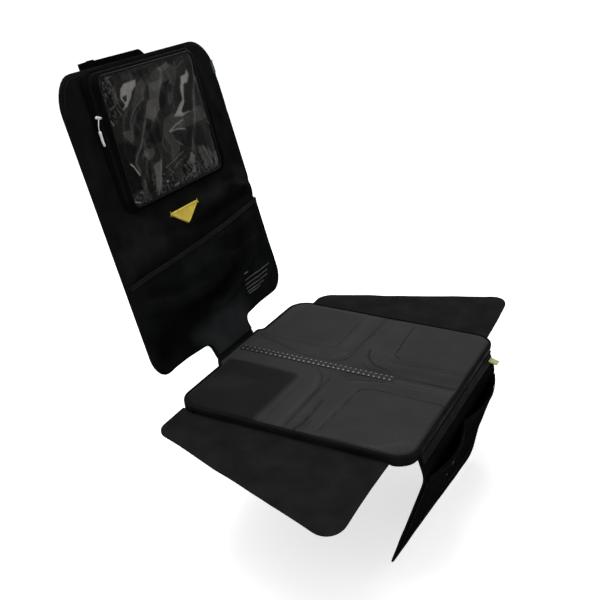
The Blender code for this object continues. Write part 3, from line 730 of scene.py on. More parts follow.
def moulded(name, colour, roughness, specular=0.5, wear=0.06):
    """Moulded plastic or painted metal: faint moulding marks and an uneven gloss."""
    material, tree, shader = new_finish(name)
    source = add(tree, "ShaderNodeTexCoord").outputs["Object"]
    tone = {"Size": 0.012, "Low": 1.0 - wear, "High": 1.0 + wear}
    patches = place_effect(tree, cloud, source, tone)["Shade"]
    fill(tree, shader, {
        "Base Color": scaled(tree, colour, patches),
        "Roughness": calculate(tree, "MULTIPLY", patches, roughness),
        "Specular IOR Level": specular,
        "Normal": bumped(tree, 0.25, 0.0001, speckle(tree, source, 1800.0, 2.0)),
    })
    return material


def clear_vinyl():
    """Clear vinyl film: glossier along its creases, with its colour painted lighter there as haze and painted
    reflections, and dark between them.
    """
    material, tree, shader = new_finish("clear vinyl film with painted reflections")
    source = add(tree, "ShaderNodeTexCoord").outputs["UV"]
    painted_light_tone = painted_light_attribute(tree)
    # Painted reflections and haze: the base colour turns from near black to a pale grey tint where the
    # piece's painted light tone is high.
    haze_and_glint = calculate(tree, "MULTIPLY", painted_light_tone, painted_light_tone)
    tints = place_effect(tree, cloud, source, {"Size": 0.025, "Low": 0.0, "High": 1.0})["Shade"]
    tint = blended(tree, tints, (0.190, 0.170, 0.160, 1.0), (0.168, 0.176, 0.162, 1.0))
    fill(tree, shader, {
        "Base Color": blended(tree, haze_and_glint, (0.0022, 0.0022, 0.0022, 1.0), tint),
        "Alpha": calculate(tree, "MULTIPLY_ADD", painted_light_tone, 0.15, 0.85),
        "Roughness": calculate(tree, "MULTIPLY_ADD", haze_and_glint, 0.10, 0.12),
        "Coat Weight": calculate(tree, "MULTIPLY", haze_and_glint, 0.45),
        "Coat Roughness": 0.10,
        "Specular IOR Level": 0.02,
        "Normal": bumped(tree, 0.10, 0.0010, speckle(tree, source, 50.0, 0.0)),
    })
    return material


def ribbed_rubber():
    """Black rubber, glossy on the raised ends of the ribs and dull between them, with painted highlights: its
    colour turns light grey on those ends.
    """
    material = moulded("glossy black rubber with painted glints", (0.0045, 0.0045, 0.0048), 0.45, specular=0.06)
    tree = material.node_tree
    places = add(tree, "ShaderNodeTexCoord").outputs["Object"]
    axes = add(tree, "ShaderNodeSeparateXYZ", inputs={0: places}).outputs
    aside = calculate(tree, "ABSOLUTE", calculate(tree, "SUBTRACT", axes[0], grip_across))
    high = cover_top + gap + rib_height
    ends = spanned(tree, aside, 0.0036, 0.0048, 0.0, 1.0)
    gloss = calculate(tree, "MULTIPLY", ends, spanned(tree, axes[2], high - 0.0008, high - 0.0002, 0.0, 0.8))
    # Painted highlights: the base colour goes from near black to light grey where gloss is high, on the ribs'
    # raised tops at both ends.
    fill(tree, tree.nodes["Principled BSDF"], {
        "Base Color": blended(tree, gloss, (0.010, 0.010, 0.0105, 1.0), (0.11, 0.11, 0.114, 1.0)),
        "Coat Weight": gloss,
        "Coat Roughness": 0.12,
    })
    return material


# The cloths given pressed=True take the painted light and shade that their pieces carry.
black_cloth = fabric("black woven cloth with painted light", (0.0068, 0.0068, 0.0070), pressed=True)
tongue_cloth = fabric("black pocket cloth with painted light", (0.0066, 0.0070, 0.0073), pressed=True)
flap_dark = fabric("black flap cloth", (0.0120, 0.0120, 0.0122), threads=1200.0)
front_cloth = fabric("black front flap cloth", (0.0050, 0.0050, 0.0051), threads=1200.0)
under_cloth = fabric("black backing cloth", (0.0080, 0.0080, 0.0085), threads=900.0, depth=0.0003)
binding_cloth = fabric("black binding tape", (0.0090, 0.0090, 0.0092), threads=1100.0, roughness=0.7)
hem_cloth = fabric("black hem tape", (0.0115, 0.0115, 0.0117), threads=1100.0)
# Painted shade: the pocket wall's cloth is half as light as the panel's black cloth, for the shade the wall
# lies in.
shaded_wall_cloth = fabric("black pocket wall cloth in painted shade", (0.0034, 0.0034, 0.0035), threads=1300.0)
grey_cover = fabric(
    "grey coated fabric with painted light", (0.0312, 0.0315, 0.0315), threads=620.0, coated=True, pressed=True,
    depth=0.00035, roughness=0.60, specular=0.01, tone=(0.07, 0.93, 1.07),
)
sheen_band = fabric(
    "smooth band fabric", (0.0052, 0.0052, 0.0054), threads=2000.0, coated=True,
    depth=0.0001, roughness=0.40, specular=0.004, tone=(0.04, 0.7, 1.3),
)
webbing = fabric("black webbing", (0.0030, 0.0030, 0.0032), threads=700.0, depth=0.0004)
webbing_object = fabric("black zip tape", (0.0030, 0.0030, 0.0032), threads=1200.0, own_map=False)
tag_cloth = fabric("grey woven tag", (0.070, 0.105, 0.110), threads=1600.0, tone=(0.006, 0.6, 1.3))
tab_cloth = fabric("pale yellow woven tab", (0.46, 0.46, 0.22), threads=1000.0, tone=(0.012, 0.85, 1.1))
print_grey = fabric("grey print", (0.110, 0.110, 0.112), threads=1400.0, tone=(0.004, 0.5, 1.2))
mark_white = fabric("pale woven label", (0.34, 0.34, 0.35), threads=1500.0, tone=(0.004, 0.4, 1.2))
sewing_thread = fabric(
    "black sewing thread", (0.012, 0.012, 0.013), threads=2500.0, specular=0.10, roughness=0.6, own_map=False
)
rib_rubber = ribbed_rubber()
zip_plastic = moulded("black zip coil", (0.0060, 0.0060, 0.0065), 0.42, specular=0.04)
piping_plastic = moulded("satin black edging", (0.0040, 0.0040, 0.0042), 0.34, specular=0.02, wear=0.2)
white_paint = moulded("white painted zip slider", (0.62, 0.63, 0.63), 0.32)
white_cord = fabric(
    "white cord", (0.66, 0.67, 0.67), threads=1500.0, depth=0.0004, own_map=False, roughness=0.7
)
white_plastic = moulded("white moulded pull", (0.64, 0.65, 0.65), 0.40, specular=0.35)
badge_plastic = moulded("yellow moulded patch", (0.66, 0.50, 0.075), 0.42, specular=0.05, wear=0.10)
film = clear_vinyl()


# Seat panel


def seat_swell(x, y):
    """Gentle unevenness of the quilted panel, shared by the layers that lie on each other."""
    return 0.0009 * drift(x, y, 0.09, 3.0) + 0.0004 * drift(x, y, 0.035, 7.0)


# Painted light and shade on the seat panel: darker lines where the quilting's grooves and seams lie in shade,
# lighter bands where raised edges catch the light, and a darker near back quarter beside the back panel.
seat_painted_light = [
    patch(0.36, 16, [(-24, 20.5), (-24, 6), (-7.2, 5.8), (-6.1, 6.6), (-5.7, 9.5), (-5.2, 21)]),
    patch(0.52, 30, [(-18, 19), (-16, 14), (-12, 12), (-11, 17), (-14, 20)]),
    patch(0.91, 20, [(7.5, 20), (7.5, 6.5), (23, 5.5), (23, 17)]),
    patch(0.94, 20, [(6.5, -8), (22, -7.6), (21, -20), (6.5, -21)]),
    patch(0.80, 20, [(-3, -1), (-3, -3.5), (-1, -9), (2, -9), (2.5, -1)]),
    patch(0.80, 30, [(2.6, -5.8), (3, -12), (3.2, -22)], 22),
    patch(1.25, 8, [(-23.5, 1.75), (-9, 1.7), (-6, 2.6)], 4),
    patch(0.22, 1.6, [(-23.5, 0.75), (-9, 0.65), (-7, 1.05), (-4.6, 2.1), (-2.3, 3.9)], 1.5),
    patch(0.60, 2.5, [(-23.5, 0.15), (-9, 0.15)], 1.2),
    patch(1.18, 4, [(-21, -0.15), (-10, -0.3)], 2),
    patch(0.42, 7, [(-23.3, -1.2), (-20.5, -1.9), (-18, -1.8)], 5),
    patch(0.50, 6, [(-17.2, -1.9), (-15, -1.7), (-12.4, -1.6)], 4),
    patch(0.60, 6, [(-22.8, -2.6), (-19.5, -3)], 3),
    patch(1.22, 6, [(-21.5, -4.7), (-12, -4.9), (-6.6, -5.5)], 3),
    patch(0.45, 1.8, [(-23.4, -5.2), (-18, -5.5), (-13, -5.8), (-8, -6), (-6.6, -6.3)], 1.2),
    patch(0.06, 2.2, [(-6.9, -6.2), (-6.1, -6.8), (-5.6, -7.9), (-5.5, -10), (-5.7, -15),
        (-5.9, -22)], 2.6),
    patch(0.25, 2, [(-3.9, -3), (-2.9, -6), (-2.2, -9.2)], 1.6),
    patch(1.40, 4, [(-4.3, -4.2), (-3.1, -7.4), (-2.5, -9.8), (-2.3, -14), (-2.1, -22)], 2.2),
    patch(1.18, 10, [(-0.9, -11), (-0.9, -22)], 10),
    patch(0.22, 4, [(0.5, -10.5), (0.6, -16), (0.6, -22)], 3),
    patch(0.35, 5, [(9, -1.9), (6, -2.7), (4.3, -3.9), (3.1, -5.2), (2.4, -7.6)], 3.5),
    patch(0.40, 2.5, [(3.2, -5), (2.4, -7.2), (2, -9.2)], 1.8),
    patch(0.16, 2.2, [(7, -8.5), (8.2, -7.2), (14, -6.7), (21.6, -6.3)], 2),
    patch(0.55, 3.5, [(6.6, -9), (6.4, -21.5)], 1.6),
    patch(1.20, 14, [(3.4, 3.2), (5.6, 1.8)], 10),
    patch(1.15, 20, [(8, 3), (22, 3.4)], 12),
    patch(1.35, 6, [(4.6, 1.8), (5.8, 1.3)], 3),
    patch(0.62, 1.8, [(4.8, 1.2), (9, 0.9), (14.5, 0.3)], 1.1),
    patch(0.30, 2.2, [(14.5, 0.2), (17, -0.3), (22.8, -0.1)], 1.8),
    patch(1.25, 4, [(14.5, -0.3), (22.8, -0.7)], 2),
    patch(1.30, 6, [(22.2, 17), (22.4, 8), (22.4, -3), (23, -6)], 3),
    patch(1.30, 12, [(-23, -13), (-22.6, -16), (-20, -19)], 5),
    patch(1.16, 16, [(-21.5, -17), (-19.5, -20.5)], 8),
    patch(1.20, 8, [(-21, -21.4), (-12, -21.7), (20, -21.6)], 3),
]
seat_light_tones = {}


def seat_light_tone(x, y):
    """Painted light and shade on the coated fabric at a place on the seat panel: a slight random tone under
    the painted patches and lines.
    """
    key = (round(x, 5), round(y, 5))
    if key not in seat_light_tones:
        seat_light_tones[key] = toned(x, y, 1.0 + 0.05 * drift(x, y, 0.05, 21.0), seat_painted_light)
    return seat_light_tones[key]


def quilt_lines():
    """The quilting's stitch lines: one closed outline round each quarter."""
    quarters = [quarter_corners(side, front) for side in (-1, 1) for front in (True, False)]
    return [closed(outline_points(corners)) for corners in quarters]


def make_padding():
    """The foam pad, pressed in where the binding folds under it and along the quilting."""
    lines = quilt_lines()

    def low(x, y, edge):
        pressed = (tape + gap) * (1.0 - smooth((edge - (under_lip - core_inset)) / 0.003))
        near_line = min(along_line(x, y, line) for line in lines)
        return pressed + 0.0012 * math.exp(-(near_line / 0.004) ** 2)

    cloth(
        "seat_pad", seat_corners(), seat_place, low, level(padding_thickness), under_cloth,
        ["seat_padding"], step=0.008, inset=core_inset,
        rims=(0.0006, 0.009, 0.0015, 0.0015, 0.0015),
    )


def make_cover():
    """The cover seen in the channels between the quarters, puckered at the near edge."""
    middle = back_edge - cross_place

    def puckers(x, y):
        reach = math.exp(-((y - middle) / 0.011) ** 2)
        near = smooth((-x - 0.135) / 0.06)
        wave = math.sin(x * 330.0 + 0.9 * math.sin(y * 260.0))
        return 0.0010 * reach * near * (wave + 0.3)

    def high(x, y, edge):
        return cover_top + max(-0.0004, puckers(x, y)) + 0.0005 * math.exp(-(x / 0.02) ** 2)

    cloth(
        "seat_cover_cloth", seat_corners(), seat_place, level(cover_low), high, grey_cover,
        ["seat_cover"], step=0.0035, inset=core_inset, marks=seat_light_tone,
    )


def make_quarters():
    """Four raised quarters and the second raised field on each."""
    nap = 0.00005
    quarter_low = cover_top + nap
    rolls = {
        "back_near": (0.020, 0.0050), "back_far": (0.016, 0.0090),
        "front_near": (0.0026, 0.0034), "front_far": (0.0100, 0.0060),
    }
    for side, side_name in ((-1, "near"), (1, "far")):
        for front, end_name in ((True, "front"), (False, "back")):
            where = f"{end_name}_{side_name}"
            roll, edge_roll = rolls[where]

            field_low = quarter_low + quarter_thickness + nap
            base = level(quarter_low)

            def field_high(x, y, edge):
                rise = nap + (field_thickness - nap) * rounding(edge, roll)
                return field_low + rise + smooth(edge / 0.03) * (0.0008 + seat_swell(x, y))

            cloth(
                f"quilted_quarter_{where}", quarter_corners(side, front), seat_place, base,
                domed(base, nap, quarter_thickness, edge_roll), grey_cover,
                [f"quarter_{where}"], step=0.0026, rims=(0.0003, 0.0006, 0.0009, 0.0012),
                marks=seat_light_tone,
            )
            cloth(
                f"quilted_field_{where}", field_corners(side, front), seat_place, level(field_low),
                field_high, grey_cover, [f"field_{where}"], step=0.0026,
                rims=(0.0003, 0.0007, 0.0012, 0.002, 0.003, 0.004), marks=seat_light_tone,
            )


def make_binding():
    """Tape folded round the seat panel's edge."""
    bm = bmesh.new()
    outer = outline_points(seat_corners())
    for z, lip in ((0.0, under_lip), (binding_top, top_lip)):
        face = flat_outline(bm, seat_corners(), z)
        for share in (0.4, 0.6):
            draw_in(bm, face, lip * share)
        bmesh.ops.delete(bm, geom=[face], context="FACES")
    rim = [
        edge for edge in bm.edges
        if edge.is_boundary and all(edge_distance(v.co.x, v.co.y, outer) < gap / 4 for v in edge.verts)
    ]
    bmesh.ops.bridge_loops(bm, edges=rim)
    bm.normal_update()
    inner = [edge for edge in bm.edges if not edge.is_boundary]
    folds_at = [edge for edge in inner if edge.calc_face_angle(0.0) > math.radians(80)]
    bmesh.ops.bevel(bm, geom=folds_at, offset=0.0030, segments=4, profile=0.5, affect="EDGES", material=-1)
    for normal in (Vector((1.0, 0.0, 0.0)), Vector((0.0, 1.0, 0.0))):
        for k in range(-22, 23):
            slice_at(bm, bm.verts[:] + bm.edges[:] + bm.faces[:], normal * (0.0105 * k + 0.0007), normal)
    bmesh.ops.recalc_face_normals(bm, faces=bm.faces[:])
    bm.normal_update()
    topmost = max(bm.faces, key=lambda face: face.calc_center_median().z)
    if topmost.normal.z < 0.0:
        bmesh.ops.reverse_faces(bm, faces=bm.faces[:])
    mapped(bm, lambda spot: (spot.x + spot.z, spot.y + spot.z))
    piece = keep("seat_edge_tape", bm, binding_cloth, ["seat_binding"])
    thicken(piece, tape)
    line = closed(outline_points(seat_corners(), top_lip * 0.72))
    sew("seat_edge_stitches", [line], seat_place, lambda x, y: binding_top)


def make_grip_strip():
    """The glossy moulded strip: a base with cross ribs, each raised at both ends."""
    low = cover_top + gap
    pitch = grip_length / rib_count
    start = back_edge - grip_start
    bm = bmesh.new()
    base = bmesh.ops.create_cube(bm, size=1.0)["verts"]
    middle = Vector((grip_across, start - grip_length / 2, low + grip_base / 2))
    bmesh.ops.scale(bm, vec=(grip_width, grip_length, grip_base), verts=base)
    bmesh.ops.translate(bm, vec=middle, verts=base)
    rib_width, rib_foot = grip_width + 0.0020, 0.0046
    rib = bmesh.ops.create_cube(bm, size=1.0)["verts"]
    bmesh.ops.scale(bm, vec=(rib_width, rib_foot, rib_height), verts=rib)
    edges = list({edge for vert in rib for edge in vert.link_edges})
    bmesh.ops.bevel(bm, geom=edges, offset=0.0010, segments=3, profile=0.5, affect="EDGES", material=-1)
    for x in (-0.0052, -0.0026, 0.0, 0.0026, 0.0052):
        rib_parts = [item for item in bm.verts[:] + bm.edges[:] + bm.faces[:] if not touches(item, base)]
        slice_at(bm, rib_parts, (x, 0.0, 0.0), (1.0, 0.0, 0.0))
    rib = [vert for vert in bm.verts if vert not in base]
    for vert in rib:
        share = min(abs(vert.co.x) / (rib_width / 2), 1.0)
        if vert.co.z > 0.0:
            vert.co.z *= 0.20 + 0.80 * math.sin(math.pi * min(1.0, share * 1.15) ** 2) ** 0.5
            vert.co.y *= 1.0 - 0.28 * (1.0 - share)
    bmesh.ops.translate(bm, vec=(grip_across, start - pitch / 2, low + rib_height / 2), verts=rib)
    chosen = set(rib)
    parts = rib + [edge for edge in bm.edges if edge.verts[0] in chosen] + [
        face for face in bm.faces if face.verts[0] in chosen
    ]
    bmesh.ops.spin(
        bm, geom=parts, cent=(0.0, 0.0, 0.0), axis=(0.0, 0.0, 1.0), dvec=(0.0, -pitch, 0.0),
        angle=0.0, steps=rib_count - 1, use_duplicate=True,
    )
    bmesh.ops.recalc_face_normals(bm, faces=bm.faces[:])
    keep("ribbed_grip_strip", bm, rib_rubber, ["grip_strip"])


def touches(item, verts):
    """Whether a vertex, edge or face belongs to the given vertices."""
    if isinstance(item, bmesh.types.BMVert):
        return item in verts
    return any(vert in verts for vert in item.verts)


# Back panel

panel_outline = outline_points(back_corners(-neck_tuck, back_height, back_height, back_top_radius))
panel_folds = [
    ridge(2.2, 6, [(15, 29.2), (18.5, 29), (23.8, 26.8)]),
    ridge(2.6, 5.5, [(16.5, 26.8), (20, 26.2), (23.8, 23.6)]),
    ridge(1.6, 9, [(-12, 26.2), (-2, 24.6), (6, 25.2)]),
    ridge(1.4, 7, [(6, 25.2), (15, 26.2), (23.5, 23.2)]),
    ridge(1.8, 8, [(-23.6, 30), (-20.5, 28.5), (-18.5, 25.5)]),
    ridge(1.6, 10, [(-23.6, 40), (-21.2, 39), (-19.6, 33)]),
    ridge(1.4, 9, [(23.2, 42), (20.5, 40), (19, 34.5)]),
    ridge(1.2, 8, [(23.6, 49), (21, 48), (19, 45.5)]),
]


# Painted light and shade on the back panel: lighter patches where its folds and hem catch the light, darker
# bands in their shade, and a dark strip beside the clear pocket's wall.
panel_painted_light = [
    patch(0.40, 20, [(-17.3, 55.5), (-17, 33), (-14, 32.5), (-14, 55.5)]),
    patch(1.60, 30, [(-23, 30.5), (-14, 30), (-8, 27.5), (-8, 23.2), (-23, 22)]),
    patch(0.90, 20, [(-24, 30.5), (-20.4, 30), (-21, 27.5), (-24, 27)]),
    patch(1.90, 18, [(-22, 25.8), (-14, 25.2), (-9, 24.4)], 6),
    patch(0.70, 20, [(-14, 31.2), (16, 31.6)], 8),
    patch(2.10, 30, [(5, 28.8), (12, 29.4), (16, 28.4), (12, 27.2), (6, 27.4)]),
    patch(0.40, 20, [(-1, 24.2), (8, 25.9), (22, 26.4), (22, 24.5), (8, 23.6)]),
    patch(1.70, 20, [(19, 31), (22.5, 30), (22.5, 27.2), (19, 28)]),
    patch(2.40, 10, [(19.6, 27.4), (22.8, 26.7)], 3),
    patch(1.50, 25, [(18.6, 52), (20, 46), (22.3, 41)], 12),
    patch(0.80, 20, [(18.5, 38), (20, 34)], 10),
    patch(1.70, 12, [(21.6, 43.6), (20.4, 42.4)], 4),
]


def panel_roll(u, h):
    """How far the back panel's faces draw together towards its sewn edge, from 0 to 1."""
    if abs(u) < back_half - 0.020 and 0.060 < h < back_height - 0.064:
        return 0.0
    return 1.0 - rounding(edge_distance(u, h, panel_outline), 0.012)


def panel_face(u, h, edge=0.0):
    """Front face of the back panel: pressed in along its folds and rolled at its edge."""
    return -0.0036 * panel_roll(u, h) - folds(u, h, panel_folds)


def make_back_panel():
    """The padded back panel with its ears and its tongue."""

    def low(u, h, edge):
        return -back_thickness + 0.0030 * panel_roll(u, h)

    corners = back_corners(-neck_tuck, back_height, back_height, back_top_radius)
    # The panel's cloth carries painted light and shade: a random tone under the painted patches.
    cloth(
        "back_panel_pad", corners, back_place, low, panel_face, black_cloth, ["back_panel"],
        step=0.005, rims=(0.0006, 0.0010, 0.0016, 0.0022, 0.0030),
        marks=lambda u, h: toned(u, h, 1.0 + 0.2 * drift(u, h, 0.06, 23.0), panel_painted_light),
    )
    line = closed(outline_points(corners, 0.0075))
    line = [point for point in line if point[1] > mouth(point[0]) + 0.004]
    sew("back_panel_stitches", [line], back_place, panel_face)


pocket_folds = [
    ridge(3.4, 10, [(-20.5, 15), (-12, 12.8), (-3, 12), (6, 13)]),
    ridge(2.8, 8, [(-6, 9.4), (1, 8), (8, 9.2), (16, 13)]),
    ridge(2.6, 8, [(5, 20.5), (12, 19.6), (20, 20.5)]),
    ridge(2.4, 11, [(-19, 19), (-11, 16.8), (2, 17)]),
    ridge(1.6, 5, [(-4.5, 2), (-3.5, 6), (-5.5, 9.8)]),
    ridge(1.5, 5, [(3, 1.8), (2.6, 5.5), (4, 9)]),
    ridge(2.2, 7, [(13, 6), (16.5, 9.5), (18, 15)]),
    ridge(1.8, 6, [(-13, 5.2), (-16.5, 8.5), (-19, 13)]),
]


# Painted light and shade on the open pocket: lighter low in the middle where the cloth curves up towards the
# tongue into the light, darker in the shade of its folds, and lighter lines along the fold ridges.
pocket_painted_light = [
    patch(1.25, 50, [(-9, 22.4), (4, 23.5), (5, 15), (-8, 14)]),
    patch(0.45, 40, [(-23, 11), (-12, 12.5), (-2, 12.5), (8, 14.5), (10, 12), (4, 9), (-10, 6), (-23, 5)]),
    patch(2.70, 50, [(-11, 6), (-6, 0), (6, 0), (9, 4), (7, 7.5), (-2, 8)]),
    patch(1.05, 30, [(11, 12), (22, 12), (22, 5), (11, 5)]),
    patch(1.60, 14, [(-20, 16.6), (-12, 14.6), (-3, 14)], 3),
    patch(1.50, 12, [(2, 17.5), (10, 15.6), (20, 16.4)], 3),
]


def pocket_inner(u, h, edge=0.0):
    """Inner face of the open pocket's cloth."""
    room = smooth((h - 0.030) / 0.05) * smooth((back_half - abs(u)) / 0.06)
    slack = 0.0010 * room * (1.0 + drift(u, h, 0.05, 1.0))
    creased = folds(u, h, pocket_folds) * (0.35 + 0.65 * room)
    return pocket_stand(u, h) - 0.0034 * panel_roll(u, h) + creased + slack


pocket_face = over(pocket_inner, pocket_cloth)


def make_open_pocket():
    """The open pocket's cloth, the folded hem along its mouth and the print on it."""
    corners = back_corners(pocket_start, mouth(-back_half), mouth(back_half), 0.0)
    # The pocket's cloth carries painted light and shade: a random tone under the painted patches.
    cloth(
        "open_pocket_cloth", corners, back_place, pocket_inner, pocket_face, tongue_cloth,
        ["open_pocket"], step=0.005, inset=pocket_margin, rims=(0.0008,),
        marks=lambda u, h: toned(u, h, 0.9 + 0.25 * drift(u, h, 0.07, 22.0), pocket_painted_light),
    )
    side = back_half - 3 * pocket_margin
    hem = [
        (-side, mouth(-side) - pocket_margin - hem_height, 0.001),
        (side, mouth(side) - pocket_margin - hem_height, 0.001),
        (side, mouth(side) - pocket_margin, 0.001),
        (-side, mouth(-side) - pocket_margin, 0.001),
    ]
    hem_low = over(pocket_face, gap)
    cloth(
        "open_pocket_hem_tape", hem, back_place, hem_low, domed(hem_low, 0.0003, pocket_cloth, 0.0016),
        hem_cloth, ["open_pocket_hem"], step=0.006, rims=(0.0004, 0.0006, 0.0008),
    )
    row = [(-side + 0.002, mouth(-side + 0.002) - 0.0088), (side - 0.002, mouth(side - 0.002) - 0.0088)]
    sew("open_pocket_stitches", [row], back_place, over(pocket_face, gap + pocket_cloth))
    rows = [
        (0.1020, 0.1185, 0.1065, 0.0030), (0.1000, 0.2080, 0.0930, 0.0022), (0.1000, 0.1940, 0.0840, 0.0022),
        (0.1000, 0.1900, 0.0760, 0.0022), (0.1010, 0.1690, 0.0690, 0.0022), (0.1040, 0.1530, 0.0640, 0.0022),
    ]
    for k, (left, right, h, tall) in enumerate(rows):
        bar = box_corners(left, h - tall / 2, right, h + tall / 2, 0.0006)
        cloth(
            f"print_row_{k + 1}", bar, back_place, over(pocket_face, 0.00005), over(pocket_face, 0.00016),
            print_grey, step=0.005, rims=(),
        )


# Clear pocket


def wall_place(u, h, share):
    """A point on the clear pocket's wall: share 0 lies on the panel and 1 on the front rim."""
    return back_place(u, h, gap + (window_depth(h) - gap) * share)


def make_pocket_wall():
    """The sloping cloth wall between the panel and the clear front."""
    base = box_corners(
        -window_half - gusset_flare, window_low - gusset_low_flare,
        window_half + gusset_flare, window_high + gusset_top_flare, gusset_radius,
    )
    rim = box_corners(-window_half, window_low, window_half, window_high, window_radius)
    bm = bmesh.new()
    for z, corners in ((0.0, base), (1.0, rim)):
        face = flat_outline(bm, corners, z)
        bmesh.ops.delete(bm, geom=[face], context="FACES_ONLY")
    bmesh.ops.bridge_loops(bm, edges=bm.edges[:])
    slopes = [edge for edge in bm.edges if abs(edge.verts[0].co.z - edge.verts[1].co.z) > 0.5]
    bmesh.ops.subdivide_edges(bm, edges=slopes, cuts=7, use_grid_fill=True)
    cut_grid(bm, 0.006)
    mapped(bm, lambda spot: (spot.x, spot.y + 0.02 * spot.z))
    for vert in bm.verts:
        u, h, share = vert.co
        arch = math.sin(math.pi * share)
        plain = u < -window_half + 0.004 or h > window_high - 0.004
        swell = 0.0 if plain else 0.0016 * arch * (0.6 + drift(u, h, 0.03, 5.0))
        crinkle = 0.0
        if plain and u < 0.0:
            crinkle = 0.0007 * arch * math.sin(90.0 * h + 3.0 * drift(u, h, 0.05, 2.0))
        vert.co = wall_place(u, h, share) + Vector((0.0, -1.0, 0.3)) * (swell - max(0.0, crinkle) * 0.3)
    bmesh.ops.recalc_face_normals(bm, faces=bm.faces[:])
    piece = keep("pocket_wall_cloth", bm, shaded_wall_cloth, ["window_gusset"])
    thicken(piece, gusset_thickness)
